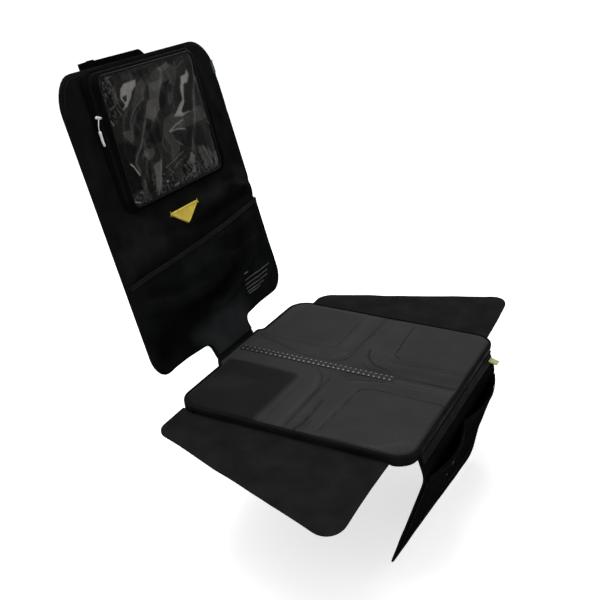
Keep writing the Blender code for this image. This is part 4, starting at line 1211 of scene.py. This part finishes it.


# Painted reflections on the film: bright loops and lines where its creases catch the light, and darker
# patches between them.
film_painted_glints = [
    patch(0.42, 6, [(-2.5, 52), (1, 53.6), (6, 54.2), (8, 53), (7, 51.5), (5.5, 50), (3.5, 51.2),
        (1.5, 50.6), (-1, 51)]),
    patch(0.54, 4, [(2.2, 53.7), (5.8, 54.4), (6, 53.3), (3.5, 52.9)]),
    patch(0.50, 3, [(-1.5, 51.6), (2.5, 51.7), (1.5, 50), (0.2, 48.6), (-0.2, 46.6), (-2, 45.8),
        (-3.6, 45.2), (-5.6, 46.2), (-3.5, 48.5), (-2.3, 49.2)]),
    patch(0.58, 4, [(-1.6, 51.6), (2.3, 51.7), (1.4, 50.4), (-0.8, 50)]),
    patch(0.56, 6, [(-5, 46.5), (-3.2, 48.9), (-1.1, 48.7), (-1.5, 46.6), (-3.5, 45.5)]),
    patch(0.42, 3, [(0.4, 44.9), (3.5, 45.4), (4.5, 44.6), (8, 44.5), (12.5, 45), (14.5, 42.2), (5.7, 42),
        (1.2, 42.3), (2.2, 40.6), (3, 39.4), (2, 37.9), (-1, 37.4), (0, 39.5), (-1.4, 42.5)]),
    patch(0.25, 4, [(8, 49), (9, 50), (11.5, 50), (12.4, 48), (13.5, 45.4), (8, 44.9), (7.3, 46.5)]),
    patch(0.18, 4, [(5.6, 41.6), (14.7, 41.2), (14.7, 35.2), (11.8, 35), (10.5, 37), (8.5, 38), (6, 38),
        (3.4, 39.3), (3.5, 41)]),
    patch(0.12, 3, [(-5.8, 44.7), (-3.8, 45.2), (-2, 45), (-1, 43.5), (-1.5, 41), (-4.5, 41.4),
        (-6.6, 42.3)]),
    patch(0.12, 3, [(-14.6, 43.6), (-12.2, 43.4), (-10, 42), (-11.2, 40.5), (-11.2, 36.5), (-12, 34.8),
        (-14.6, 34.8)]),
    patch(0.12, 3, [(0.2, 48.7), (2, 50.8), (5, 51.2), (3.2, 49.5), (2.5, 48), (1.5, 47), (0.3, 46.5)]),
    patch(0.40, 3, [(3.4, 48.9), (5, 49.1), (4.4, 47.6), (3.1, 46.6), (2.8, 47.4)]),
    patch(0.20, 3, [(-7.4, 47.4), (-5, 48), (-6, 46.5), (-7.6, 45.5)]),
    patch(0.13, 3, [(-9.8, 45.7), (-8, 45.8), (-7.9, 44), (-9.5, 43.9)]),
    patch(0.17, 4, [(-6.5, 54.3), (-0.4, 54.2), (-0.6, 53.3), (-5.6, 53.6)]),
    patch(0.14, 3, [(6, 54.8), (8.6, 54.6), (8.4, 53.9), (6, 54)]),
    patch(0.32, 3, [(-8.3, 54.3), (-6, 54.2), (-5, 53.2), (-8.6, 53.2)]),
    patch(0.42, 4, [(-5.4, 52), (-3, 52.9), (-2.2, 51), (-4.5, 49.8), (-8.5, 48), (-7.2, 49.8)]),
    patch(0.42, 3, [(-12, 52.8), (-10.8, 53), (-11, 49.8), (-12.6, 50)]),
    patch(0.46, 3, [(-12.7, 45.2), (-10.5, 45.3), (-10, 43.8), (-10.8, 42.7), (-12, 43.8)]),
    patch(0.46, 3, [(-9.6, 40.2), (-8.5, 41), (-5, 40.8), (-5, 39.8), (-6.5, 39), (-9.5, 39.2)]),
    patch(0.15, 3, [(-9.2, 40), (-8, 39.8), (-7.6, 37.5), (-8.6, 34), (-8, 32.6), (-9.1, 32.5), (-10, 36)]),
    patch(0.62, 4, [(-6.4, 38), (-3.8, 38.3), (-4.5, 36.6), (-6.2, 34.2), (-7.5, 33), (-8, 34), (-7, 36)]),
    patch(0.27, 3, [(-3.8, 36.6), (0.2, 37.5), (3, 37.1), (2, 35.5), (0.5, 34.3), (-0.5, 34), (-2.2, 34.5),
        (-3.9, 34.8)]),
    patch(0.54, 3, [(3, 35.6), (5, 37.4), (6, 36.5), (5.5, 35.4), (4.2, 35.2)]),
    patch(0.50, 4, [(8.5, 37.8), (10.2, 37.5), (11.8, 36), (11.8, 33.5), (9, 33.5)]),
    patch(0.38, 5, [(12, 33), (14.6, 33.2), (14.4, 35.6), (12.4, 35.4)]),
    patch(0.95, 2.5, [(-10.9, 48.7), (-9, 49), (-7.4, 50.2), (-6.7, 51.2), (-5.2, 52.1), (-4.8, 53),
        (-8.3, 52.9), (-9.4, 52.2), (-10.2, 50.7), (-9.9, 49.5)]),
    patch(0.30, 2.5, [(-9.8, 50.8), (-8.6, 51), (-8.6, 50.1), (-9.7, 49.8)]),
    patch(0.95, 2.5, [(11.4, 52.2), (11.5, 50.9), (10.6, 49.7), (9, 49.7), (8.2, 48.4), (7.8, 46.6),
        (6.2, 45), (6.4, 44.6), (8.3, 44.6), (6, 44.1), (3.3, 44.6), (5, 45.5), (7.1, 47), (7.6, 49.3),
        (8.9, 51.1), (10.4, 51.3)]),
    patch(0.90, 2, [(5.8, 43.5), (3, 43.1), (0.9, 42.4)], 2.2),
    patch(0.90, 2, [(0.9, 42.3), (3.2, 42.3), (5.6, 41.8)], 2.2),
    patch(0.95, 3, [(-12.7, 39.6), (-12, 39), (-11.4, 37.4)], 4.5),
    patch(0.52, 2, [(-5.5, 45.8), (-7, 44), (-8.2, 42.6), (-10.2, 40.8), (-11.2, 39.4), (-11, 37.8)], 4.5),
    patch(0.54, 2, [(-4.2, 49.6), (-6.5, 48.8), (-8.5, 47.6), (-9.8, 46.3), (-10.2, 44.8)], 2.8),
    patch(0.36, 2, [(-8, 47.2), (-7.7, 45.2), (-7.2, 44.2)], 2.2),
    patch(0.34, 2, [(-12, 46.6), (-9.2, 48.4), (-7, 50)], 3),
    patch(0.34, 3, [(-10.5, 36), (-9.9, 33)], 5),
    patch(0.62, 2, [(-3.4, 36.6), (0, 37.2), (3.2, 38)], 2.2),
    patch(0.54, 2, [(-0.8, 36), (2.4, 36.8)], 2.4),
    patch(0.56, 2, [(-2.6, 36.2), (-1.5, 35.3), (-2.6, 34.9)], 1.8),
    patch(0.82, 2, [(4.2, 36), (4.9, 37.3), (6.1, 36.2)], 1.8),
    patch(0.84, 2, [(5, 34.6), (5.2, 33.7)], 2.4),
    patch(0.74, 2, [(1.8, 33), (3, 33.7), (4.4, 33.9)], 2.2),
    patch(0.88, 2, [(-3.9, 34.2), (-3.6, 34.1)], 4),
    patch(0.80, 2, [(-1.8, 32.9), (-0.5, 33)], 2.6),
    patch(0.88, 2, [(-14.5, 33.4), (-12.8, 32.8)], 2.8),
    patch(0.80, 2, [(-14.6, 35.6), (-14.5, 34.8)], 3.4),
    patch(0.60, 2, [(-12.4, 34.4), (-11.6, 34.2)], 3),
    patch(0.46, 2, [(6.2, 50), (7, 51.3), (8.2, 54)], 3.6),
    patch(0.42, 3, [(8.4, 52.8), (10.6, 53.6)], 4),
    patch(0.40, 2, [(11.3, 54.4), (11.3, 51.4)], 2.4),
    patch(0.36, 2, [(14.7, 54.4), (13, 48.6), (13.8, 46.5), (14.5, 44.4)], 2),
    patch(0.80, 2, [(14.2, 41.4), (14.6, 40.2)], 2.4),
    patch(0.66, 2, [(14.4, 53.4), (14.5, 52.2)], 2.2),
    patch(0.50, 3, [(-8.5, 54.9), (0, 54.8), (8.5, 55.1)], 1.6),
    patch(0.66, 2, [(-14.4, 54), (-14.4, 53.6)], 4),
    patch(0.66, 2, [(-12.4, 54.6), (-11.4, 54.6)], 3),
    patch(0.66, 2, [(-14.2, 47.6), (-13.8, 46.8)], 3.6),
    patch(0.54, 2, [(9, 36.8), (9.8, 34.4)], 2.6),
    patch(0.44, 2, [(10.6, 36.2), (11.2, 33.8)], 2.4),
    patch(0.38, 3, [(-1.6, 41.8), (-2.4, 40.9), (-1.8, 39.4)], 6),
    patch(0.52, 3, [(2.6, 40), (3.6, 39.2)], 3.6),
]
film_ridges = [
    ridge(3, 10, [(13.9, 54.1), (9.5, 45), (6, 38.5), (2.9, 32.7)]),
    ridge(3.4, 12, [(2.2, 53), (-3, 46.3), (-8, 43), (-10.8, 36)]),
    ridge(2.6, 8.5, [(-2.1, 53), (-6.2, 48.9), (-9.3, 46.7), (-11, 44)]),
    ridge(3, 6.5, [(-6, 54), (-9.2, 50.5), (-12, 47), (-13.8, 42)]),
    ridge(2.2, 4.5, [(11.2, 51.6), (8.5, 49.8), (7, 46.5), (4.8, 44.7), (9, 44.2)]),
    ridge(2, 4.5, [(9, 43.4), (4.7, 43.2), (1.4, 42.1), (5.8, 41.4)]),
    ridge(2.6, 8, [(-4.4, 39), (-6, 35.5), (-8, 32.6)]),
    ridge(2.2, 5.5, [(5.1, 37.6), (2.8, 34.9), (5.2, 33)]),
    ridge(1.6, 3.2, [(9.4, 37.8), (11.6, 32.4)]),
    ridge(1.5, 3.2, [(11, 37), (13, 32.5)]),
    ridge(1.4, 3.2, [(7.8, 36.6), (9.8, 32.6)]),
    ridge(2.2, 6, [(-13.2, 40), (-11.2, 36.2), (-12.2, 33.2)]),
    ridge(1.6, 5, [(4, 54.5), (5.2, 50.5), (4, 47)]),
]


def film_margin(u, h):
    """0 at the film's sewn rim and 1 inside it."""
    middle = (window_low + window_high) / 2
    reach_u = (window_half - abs(u)) / 0.022
    reach_h = (window_high - middle - abs(h - middle)) / 0.022
    return smooth(min(reach_u, 1.0)) * smooth(min(reach_h, 1.0))


def film_low(u, h, edge=0.0):
    """Underside of the wrinkled film."""
    ripple = 0.0010 * drift(u * 1.6, h * 0.8, 0.021, 11.0) + 0.00012 * drift(u * 1.8, h, 0.009, 13.0)
    near = smooth((0.02 - u) / 0.10)
    ripple *= 0.5 + 0.8 * near
    swell = 0.0009 * math.sin(95.0 * u + 26.0 * h)
    shape = 0.0022 + ripple + swell + folds(u, h, film_ridges)
    return window_depth(h) + gap + film_margin(u, h) * max(0.0004, shape)


film_glint_tones = {}


def film_glint_tone(u, h):
    """How bright the film looks at a place, as it does where it catches the light on its creases."""
    key = (round(u, 5), round(h, 5))
    if key not in film_glint_tones:
        # Painted glints: flecks over the busy corners, then the painted patches and lines of light on top.
        busy = max(smooth((-u - 0.098) / 0.02) * smooth((h - 0.462) / 0.02), smooth((0.376 - h) / 0.02))
        flecks = smooth((drift(u * 1.2 + h * 0.5, h - u * 0.4, 0.0062, 31.0) + 0.02) / 0.18)
        tone = 0.25 + 0.05 * drift(u, h, 0.012, 30.0) + busy * (0.30 * flecks - 0.10)
        tone = toned(u, h, tone, film_painted_glints)
        film_glint_tones[key] = min(1.0, max(0.05, tone + 0.05 * drift(u, h, 0.007, 32.0) * (1.0 + busy)))
    return film_glint_tones[key]


def make_window():
    """The clear film and the edging round it."""
    rim = box_corners(-window_half, window_low, window_half, window_high, window_radius)
    cloth(
        "clear_film_sheet", rim, back_place, film_low, over(film_low, film_thickness), film,
        ["window_film"], step=0.0017, rims=(0.0008,),
        marks=film_glint_tone,
    )

    def bead_low(u, h, edge):
        return window_depth(h) + film_thickness + 2 * gap

    bead = domed(bead_low, 0.0004, piping_height, piping_width / 2)
    cloth(
        "film_edging", rim, back_place, bead_low, bead, piping_plastic, ["window_piping"],
        step=0.008, hollow=True,
        rims=(0.0003, 0.0006, 0.0008, 0.0008, 0.0008, 0.0006, 0.0003),
    )


def zip_course(pitch):
    """Evenly spaced places on the pocket's wall along the zip: a point, its direction and its way out."""
    radius = (gusset_radius + window_radius) / 2
    side = window_half + gusset_flare / 2
    low, high = window_low - gusset_low_flare / 2, window_high + gusset_top_flare / 2
    points = outline_points(box_corners(-side, low, side, high, radius))
    start, end = (side, high - radius), (-side, low + radius)

    def nearest(goal):
        return min(range(len(points)), key=lambda i: math.dist(points[i], goal))

    first, last = nearest(start), nearest(end)
    line = [points[(first + k) % len(points)] for k in range((last - first) % len(points) + 1)]
    if math.dist(line[0], line[1]) > 0.1:
        line = [points[(first - k) % len(points)] for k in range((first - last) % len(points) + 1)]
    course = []
    for u, h, du, dh in paces(line, pitch):
        here = wall_place(u, h, 0.5)
        way = (wall_place(u + du * 0.001, h + dh * 0.001, 0.5) - here).normalized()
        slope = wall_place(u - dh * gusset_flare / 2, h + du * gusset_flare / 2, 1.0) - here
        across = (slope - way * slope.dot(way)).normalized()
        out = way.cross(across).normalized()
        course.append((here, way, across, -out if out.y > 0.0 else out))
    return course


def make_zip():
    """The zip's two tapes and its coil of teeth."""
    face = 2 * gap
    bm = bmesh.new()
    rows = []
    for here, way, across, out in zip_course(0.006):
        base = here + out * face
        rows.append([bm.verts.new(base + across * a) for a in (-0.0075, -0.0026, 0.0026, 0.0075)])
    for one, other in zip(rows, rows[1:]):
        for k in range(3):
            bm.faces.new((one[k], one[k + 1], other[k + 1], other[k]))
    bmesh.ops.recalc_face_normals(bm, faces=bm.faces[:])
    bmesh.ops.solidify(bm, geom=bm.faces[:], thickness=0.0004)
    bmesh.ops.recalc_face_normals(bm, faces=bm.faces[:])
    keep("zip_tapes", bm, webbing_object, ["zip_chain"])
    bm = bmesh.new()
    for here, way, across, out in zip_course(0.0016):
        for side in (-1, 1):
            centre = here + out * (face + 0.0007) + across * side * 0.0012 + way * side * 0.0004
            turn = Matrix((across * 0.0015, way * 0.00062, out * 0.00072)).transposed()
            matrix = Matrix.Translation(centre) @ turn.to_4x4()
            bmesh.ops.create_icosphere(bm, subdivisions=1, radius=1.0, matrix=matrix)
    bmesh.ops.recalc_face_normals(bm, faces=bm.faces[:])
    keep("zip_teeth", bm, zip_plastic, ["zip_chain"], sharp=180.0)


def rod(name, course, finish, node):
    """A round cord or bar on the zip's slider along (u, h, w, radius) points in millimetres."""
    bm = bmesh.new()
    ring = bmesh.ops.create_circle(bm, cap_ends=True, segments=10, radius=1.0)["verts"]
    spots = [(back_place(u / 1000, h / 1000, w / 1000), radius / 1000) for u, h, w, radius in course]
    before = Matrix.Identity(4)
    for k, (spot, radius) in enumerate(spots):
        way = spots[min(k + 1, len(spots) - 1)][0] - spots[max(k - 1, 0)][0]
        turn = way.to_track_quat("Z", "Y").to_matrix().to_4x4()
        now = Matrix.Translation(spot) @ turn @ Matrix.Scale(radius, 4)
        if k > 0:
            face = next(iter(set.intersection(*(set(vert.link_faces) for vert in ring))))
            raised = bmesh.ops.extrude_face_region(bm, geom=[face])["geom"]
            if k > 1:
                bmesh.ops.delete(bm, geom=[face], context="FACES_ONLY")
            ring = [item for item in raised if isinstance(item, bmesh.types.BMVert)]
        bmesh.ops.transform(bm, matrix=now @ before.inverted(), verts=ring)
        before = now
    bmesh.ops.recalc_face_normals(bm, faces=bm.faces[:])
    keep(name, bm, finish, [node], body="slider", sharp=70.0)


def make_pull():
    """The slider's small head, the pull's thin cord and its moulded end, hanging slightly curved."""
    head = [
        (-174.5, 490.5, 11.8, 1.2), (-173.5, 489.5, 12, 2.6), (-170, 488, 12.2, 2.9),
        (-166, 486.8, 12.2, 2.6), (-162, 486.6, 12, 2), (-160.6, 487.2, 11.8, 1),
    ]
    cord = [
        (-170, 486.2, 13.2, 0.9), (-172.7, 482.2, 14, 0.9), (-175.4, 478.2, 14.2, 0.9),
        (-177.2, 474.2, 14, 0.9), (-178.4, 470, 13.8, 0.9), (-178.8, 466.4, 13.6, 0.9),
    ]
    end = [
        (-178.8, 466.7, 13.6, 1.4), (-178.6, 465.8, 13.6, 2.5), (-178.8, 462.5, 13.6, 2.7),
        (-179, 457.5, 13.6, 2.2), (-179.5, 452, 13.6, 2.3), (-179.4, 446.5, 13.6, 2.2),
        (-178.6, 442.5, 13.6, 2.1), (-178.2, 440.6, 13.6, 1.2),
    ]
    rod("white_zip_slider", head, white_paint, "zip_slider")
    rod("white_pull_cord", cord, white_cord, "zip_pull_cord")
    rod("white_pull_end", end, white_plastic, "zip_pull_end")


# Labels and strap


def make_labels():
    """The bare three-cornered badge with its raised rim, and the woven tag at the far edge."""
    left, right = badge_across - badge_width / 2, badge_across + badge_width / 2
    corners = [
        (badge_across, badge_top - badge_height, badge_radius),
        (right, badge_top, badge_radius / 2),
        (left, badge_top, badge_radius / 2),
    ]

    def face(u, h, edge):
        rim = math.exp(-((edge - 0.0022) / 0.0011) ** 2)
        return gap + 0.0004 + (badge_thickness - 0.0011) * rounding(edge, 0.0012) + 0.0007 * rim

    cloth(
        "plain_badge", corners, back_place, level(gap - 0.0012), face, badge_plastic,
        ["badge"], step=0.004, rims=(0.0002, 0.0004, 0.0006, 0.0005, 0.0005, 0.0005, 0.0006),
    )
    right = back_half - pocket_margin / 2
    tag = box_corners(right - tag_width, tag_top - tag_length, right, tag_top, 0.0004)

    tag_base = over(panel_face, gap)
    cloth(
        "woven_edge_tag", tag, back_place, tag_base,
        domed(tag_base, tag_thickness / 2, tag_thickness, 0.0008), tag_cloth,
        ["edge_tag"], step=0.002, rims=(0.0002, 0.0003, 0.0004),
    )


def strap_path():
    """The strap's course seen from above, as (u, w) points with rounded bends."""
    sewn = -back_thickness - gap - strap_cloth / 2
    behind = -back_thickness - strap_back
    corners = [
        (-strap_half - strap_tab, sewn), (-strap_half, sewn), (-strap_half, behind),
        (strap_half, behind), (strap_half, sewn), (strap_half + strap_tab, sewn),
    ]
    path = [Vector(corners[0])]
    for before, corner, after in zip(corners, corners[1:], corners[2:]):
        a, c, b = Vector(before), Vector(corner), Vector(after)
        start = c + (a - c).normalized() * strap_bend
        end = c + (b - c).normalized() * strap_bend
        path += [start * (1 - t) ** 2 + c * 2 * t * (1 - t) + end * t ** 2 for t in (k / 8 for k in range(9))]
    path.append(Vector(corners[-1]))
    fine = [path[0]]
    for point in path[1:]:
        steps = max(1, round((point - fine[-1]).length / 0.006))
        start = fine[-1]
        fine += [start.lerp(point, k / steps) for k in range(1, steps + 1)]
    return fine


def make_strap():
    """The headrest strap behind the top edge: its ends lie on the panel's back."""
    top = back_height + strap_rise
    path = strap_path()
    bm = strip([(k * 0.006, 0.0, 0.0) for k in range(len(path))], (0.0, strap_drop / 10, 0.0), 10)
    for vert in bm.verts:
        u, w = path[round(vert.co.x / 0.006)]
        sink = strap_sink * smooth((u - strap_sink_start) / strap_sink_run)
        vert.co = back_place(u, top - strap_drop + vert.co.y - sink, w)
    bmesh.ops.recalc_face_normals(bm, faces=bm.faces[:])
    piece = keep("headrest_webbing", bm, webbing, ["headrest_strap"])
    thicken(piece, strap_cloth, 0.0, 0.0006)
    length = sum((b - a).length for a, b in zip(path, path[1:]))
    lines = []
    for side in (-1, 1):
        inner, outer = side * (strap_half + 0.006), side * (strap_half + strap_tab - 0.003)
        sink = strap_sink if side > 0 else 0.0
        low, high = top - strap_drop - sink + 0.004, min(top - sink, back_height) - 0.006
        lines.append([(inner, low), (outer, low), (outer, high), (inner, high), (inner, low)])
    outside = level(back_thickness + gap + strap_cloth)
    sew("strap_stitches", lines, lambda u, h, w: back_place(u, h, -w), outside)


# Front flap


def make_front_band():
    """The smooth band over the seat panel's front edge."""
    corners = box_corners(-band_half, -band_drop, band_half, binding_top - tape, band_radius)

    def face(u, z, edge):
        wave = 0.0005 * drift(u, z, 0.05, 4.0)
        return gap + 0.0003 + (band_thickness - 0.0003 + wave) * rounding(edge, 0.0030)

    cloth(
        "front_edge_band", corners, band_place, level(gap), face, sheen_band, ["front_band"],
        step=0.004, rims=(0.0003, 0.0006, 0.0010, 0.0010),
    )


front_corners = [
    (-front_bottom_half, front_length - front_slant, front_radius),
    (-front_half, 0.0, 0.0),
    (front_half, 0.0, 0.0),
    (front_bottom_half, front_length + front_slant, front_radius),
]
front_creases = [
    ridge(2.2, 8, [(-15, 12), (-12, 16), (-6, 19)]),
    ridge(2, 7, [(4, 11), (7, 15), (8, 20.5)]),
    ridge(1.8, 6, [(15, 10), (12, 14), (13, 19)]),
    ridge(1.6, 6, [(-4, 9), (-6, 13), (-5.5, 18)]),
]


def front_sway(u, s):
    """The flap cloth's slow waves, shared by the pocket on it."""
    return 0.0016 * smooth((s - 0.06) / 0.10) * (drift(u, s, 0.11, 9.0) + 0.5 * drift(u, s, 0.045, 10.0))


def front_inner(u, s, edge=0.0):
    """Inner face of the front pocket's cloth."""
    share = (u + front_pocket_half) / (2 * front_pocket_half / cell_count)
    loose = abs(math.sin(math.pi * share)) * smooth((front_pocket_bottom - s) / 0.05)
    waves = (0.0009 * (1.0 + drift(u, s, 0.03, 12.0)) + folds(u, s, front_creases)) * loose
    return front_stand(u, s) + waves + max(0.0, front_sway(u, s))


front_face = over(front_inner, 0.0012)


def make_front_flap():
    """The hanging flap with its open pocket, the pocket's hem and two plain labels."""

    def flap_face(u, s, edge):
        return front_sway(u, s) * 0.6 + 0.0004 + (flap_cloth - 0.0006) * rounding(edge, 0.0022)

    cloth(
        "front_flap_cloth", front_corners, front_place, lambda u, s, edge: min(0.0, front_sway(u, s)),
        flap_face, front_cloth, ["front_flap"], step=0.006,
        rims=(0.0004, 0.0008, 0.0010),
    )
    left, right = -front_pocket_half, front_pocket_half
    pocket = box_corners(left, front_pocket_top, right, front_pocket_bottom, 0.0)
    cloth(
        "front_pocket_cloth", pocket, front_place, front_inner, front_face, front_cloth,
        ["front_pocket"], step=0.0045, rims=(0.0008,),
    )
    hem = box_corners(left, front_pocket_top, right, front_pocket_top + front_hem_height, 0.0008)

    hem_low = over(front_face, gap)
    cloth(
        "front_pocket_hem_tape", hem, front_place, hem_low, domed(hem_low, 0.0003, 0.0012, 0.0016),
        front_cloth, ["front_pocket_hem"], step=0.0045, rims=(0.0004, 0.0006, 0.0006),
    )
    row = front_pocket_top + front_hem_height - 0.0013
    row = [(left + 0.002, row), (right - 0.002, row)]
    sew("front_hem_stitches", [row], front_place, over(front_face, gap + 0.0012))
    sides = [(left + 0.003, front_pocket_top + 0.010), (left + 0.003, front_pocket_bottom - 0.003),
             (right - 0.003, front_pocket_bottom - 0.003), (right - 0.003, front_pocket_top + 0.010)]
    middle = [(0.0, front_pocket_top + 0.010), (0.0, front_pocket_bottom - 0.003)]
    sew("front_pocket_stitches", [sides, middle], front_place, front_face)
    edge_line = [p for p in closed(outline_points(front_corners, 0.0050)) if p[1] > 0.03]
    sew("front_flap_stitches", [edge_line], front_place, lambda u, s: flap_face(u, s, 0.005))
    for k, (u, s, wide, tall) in enumerate(((-0.085, 0.073, 0.007, 0.006), (-0.097, 0.092, 0.004, 0.004))):
        label = box_corners(u - wide / 2, s - tall / 2, u + wide / 2, s + tall / 2, 0.0008)
        cloth(
            f"plain_label_{k + 1}", label, front_place, over(front_face, 0.00005), over(front_face, 0.0003),
            mark_white, step=0.002, rims=(0.0003,),
        )


def make_front_tab():
    """The small folded loop of woven tape under the band."""
    root = front_edge - gap - band_thickness - 0.0008
    tip = front_edge - tab_reach
    course = [
        (root, -0.0105), (root - 0.007, -0.0128), (tip + 0.004, -0.0152), (tip + 0.0006, -0.0154),
        (tip, -0.0147), (tip + 0.0006, -0.0140), (tip + 0.004, -0.0138), (root - 0.007, -0.0114),
        (root, -0.0091),
    ]
    left = tab_across - tab_width / 2
    bm = strip([(left, y, z) for y, z in course], (tab_width / 6, 0.0, 0.0), 6)
    bmesh.ops.recalc_face_normals(bm, faces=bm.faces[:])
    piece = keep("folded_front_tab", bm, tab_cloth, ["front_tab"])
    thicken(piece, 0.0007, 0.0, 0.0002)


# Side flaps


def make_side_flaps():
    """Two flaps, narrow at the back and wide at the front."""
    for side, name, droop in ((-1, "near", near_droop), (1, "far", far_droop)):
        back = back_edge - side_back_start - side * side_shift
        front = front_edge + side_front_end - side * side_shift
        corners = [
            (-side_root, front, 0.0),
            (side_front_width, front + side_front_slant, side_front_radius),
            (side_back_width, back, side_back_radius),
            (-side_root, back, 0.0),
        ]

        def wave(out, y):
            free = smooth((out - 0.012) / 0.06)
            return 0.0030 * free * (drift(out, y, 0.10, side * 3.0) + 0.4 * drift(out, y, 0.04, side * 5.0))

        def face(out, y, edge):
            return wave(out, y) - 0.0010 * (1.0 - rounding(edge, 0.0030)) - 0.0005 * math.exp(
                -((edge - 0.0065) / 0.0016) ** 2)

        def under(out, y, edge):
            return wave(out, y) - flap_cloth + 0.0006 * (1.0 - rounding(edge, 0.0030))

        place = side_place(side, droop)
        cloth(
            f"side_flap_cloth_{name}", corners, place, under, face, flap_dark,
            [f"side_flap_{name}"], step=0.006, rims=(0.0004, 0.0010, 0.0016, 0.0020, 0.0020),
        )
        row = [p for p in closed(outline_points(corners, 0.0065)) if p[0] > 0.004]
        steps = [abs(a[1] - b[1]) if a[0] < 0.03 else 0.0 for a, b in zip(row, row[1:])]
        if max(steps) > 0.2:
            first = steps.index(max(steps)) + 1
            row = row[first:] + row[:first]
        sew(f"side_flap_stitches_{name}", [row], place, lambda out, y: face(out, y, 0.0065))


# Studio


def seen_share(tree):
    """1 where the camera looks, straight or by a reflection, and 0 for the light on the object."""
    rays = add(tree, "ShaderNodeLightPath").outputs
    seen = calculate(tree, "MAXIMUM", rays["Is Camera Ray"], rays["Is Glossy Ray"])
    return calculate(tree, "MAXIMUM", seen, rays["Is Transmission Ray"])


def make_studio():
    """Camera, plain white surroundings, a pale floor that keeps the shadow, and soft lamps."""
    scene = bpy.context.scene
    scene.view_settings.view_transform = "Standard"
    turn, tilt, roll, reach = -1.107613, 0.419467, -0.014964, 939.585387
    back = Vector((math.sin(turn) * math.cos(tilt), -math.cos(turn) * math.cos(tilt), math.sin(tilt)))
    right = Vector((math.cos(turn), math.sin(turn), 0.0))
    up = back.cross(right)
    c, s = math.cos(roll), math.sin(roll)
    axes = Matrix((right * c + up * s, up * c - right * s, back)).transposed().to_4x4()
    data = bpy.data.cameras.new("photo camera")
    data.sensor_width = 36.0
    data.lens = reach / 600.0 * data.sensor_width
    camera = bpy.data.objects.new("photo camera", data)
    camera.matrix_world = Matrix.Translation((-1.413916, -0.619785, 0.838554)) @ axes
    scene.collection.objects.link(camera)
    scene.camera = camera

    white = (1.0, 1.0, 1.0, 1.0)
    world = bpy.data.worlds.new("white surroundings")
    scene.world = world
    world.use_nodes = True
    tree = world.node_tree
    strength = calculate(tree, "MULTIPLY_ADD", seen_share(tree), 0.55, 0.45)
    fill(tree, tree.nodes["Background"], {"Color": white, "Strength": strength})

    bm = bmesh.new()
    bmesh.ops.create_grid(bm, x_segments=1, y_segments=1, size=20.0)
    bmesh.ops.translate(bm, vec=(0.0, 0.0, cad_box[0][2] - 0.004), verts=bm.verts[:])
    mesh = bpy.data.meshes.new("pale floor")
    bm.to_mesh(mesh)
    bm.free()
    floor = bpy.data.objects.new("pale floor", mesh)
    scene.collection.objects.link(floor)
    material, tree, shader = new_finish("white paper")
    fill(tree, shader, {
        "Base Color": (0.90, 0.90, 0.90, 1.0),
        "Roughness": 0.9,
        "Specular IOR Level": 0.0,
        "Emission Color": white,
        "Emission Strength": calculate(tree, "MULTIPLY", seen_share(tree), 0.62),
    })
    mesh.materials.append(material)

    lamps = (
        ("overhead softbox", (-0.2, 0.5, 2.6), 1.8, 46.0),
        ("near softbox", (-2.0, -0.8, 1.8), 1.2, 8.0),
        ("far softbox", (1.8, 1.2, 1.8), 1.2, 12.0),
    )
    for name, place, size, power in lamps:
        light = bpy.data.lights.new(name, "AREA")
        light.shape = "SQUARE"
        light.size = size
        light.energy = power
        lamp = bpy.data.objects.new(name, light)
        lamp.location = place
        lamp.rotation_euler = (Vector((0.0, 0.1, 0.15)) - Vector(place)).to_track_quat("-Z", "Y").to_euler()
        scene.collection.objects.link(lamp)


make_studio()
make_padding()
make_cover()
make_quarters()
make_binding()
make_grip_strip()
make_back_panel()
make_open_pocket()
make_pocket_wall()
make_window()
make_zip()
make_pull()
make_labels()
make_strap()
make_front_band()
make_front_flap()
make_front_tab()
make_side_flaps()
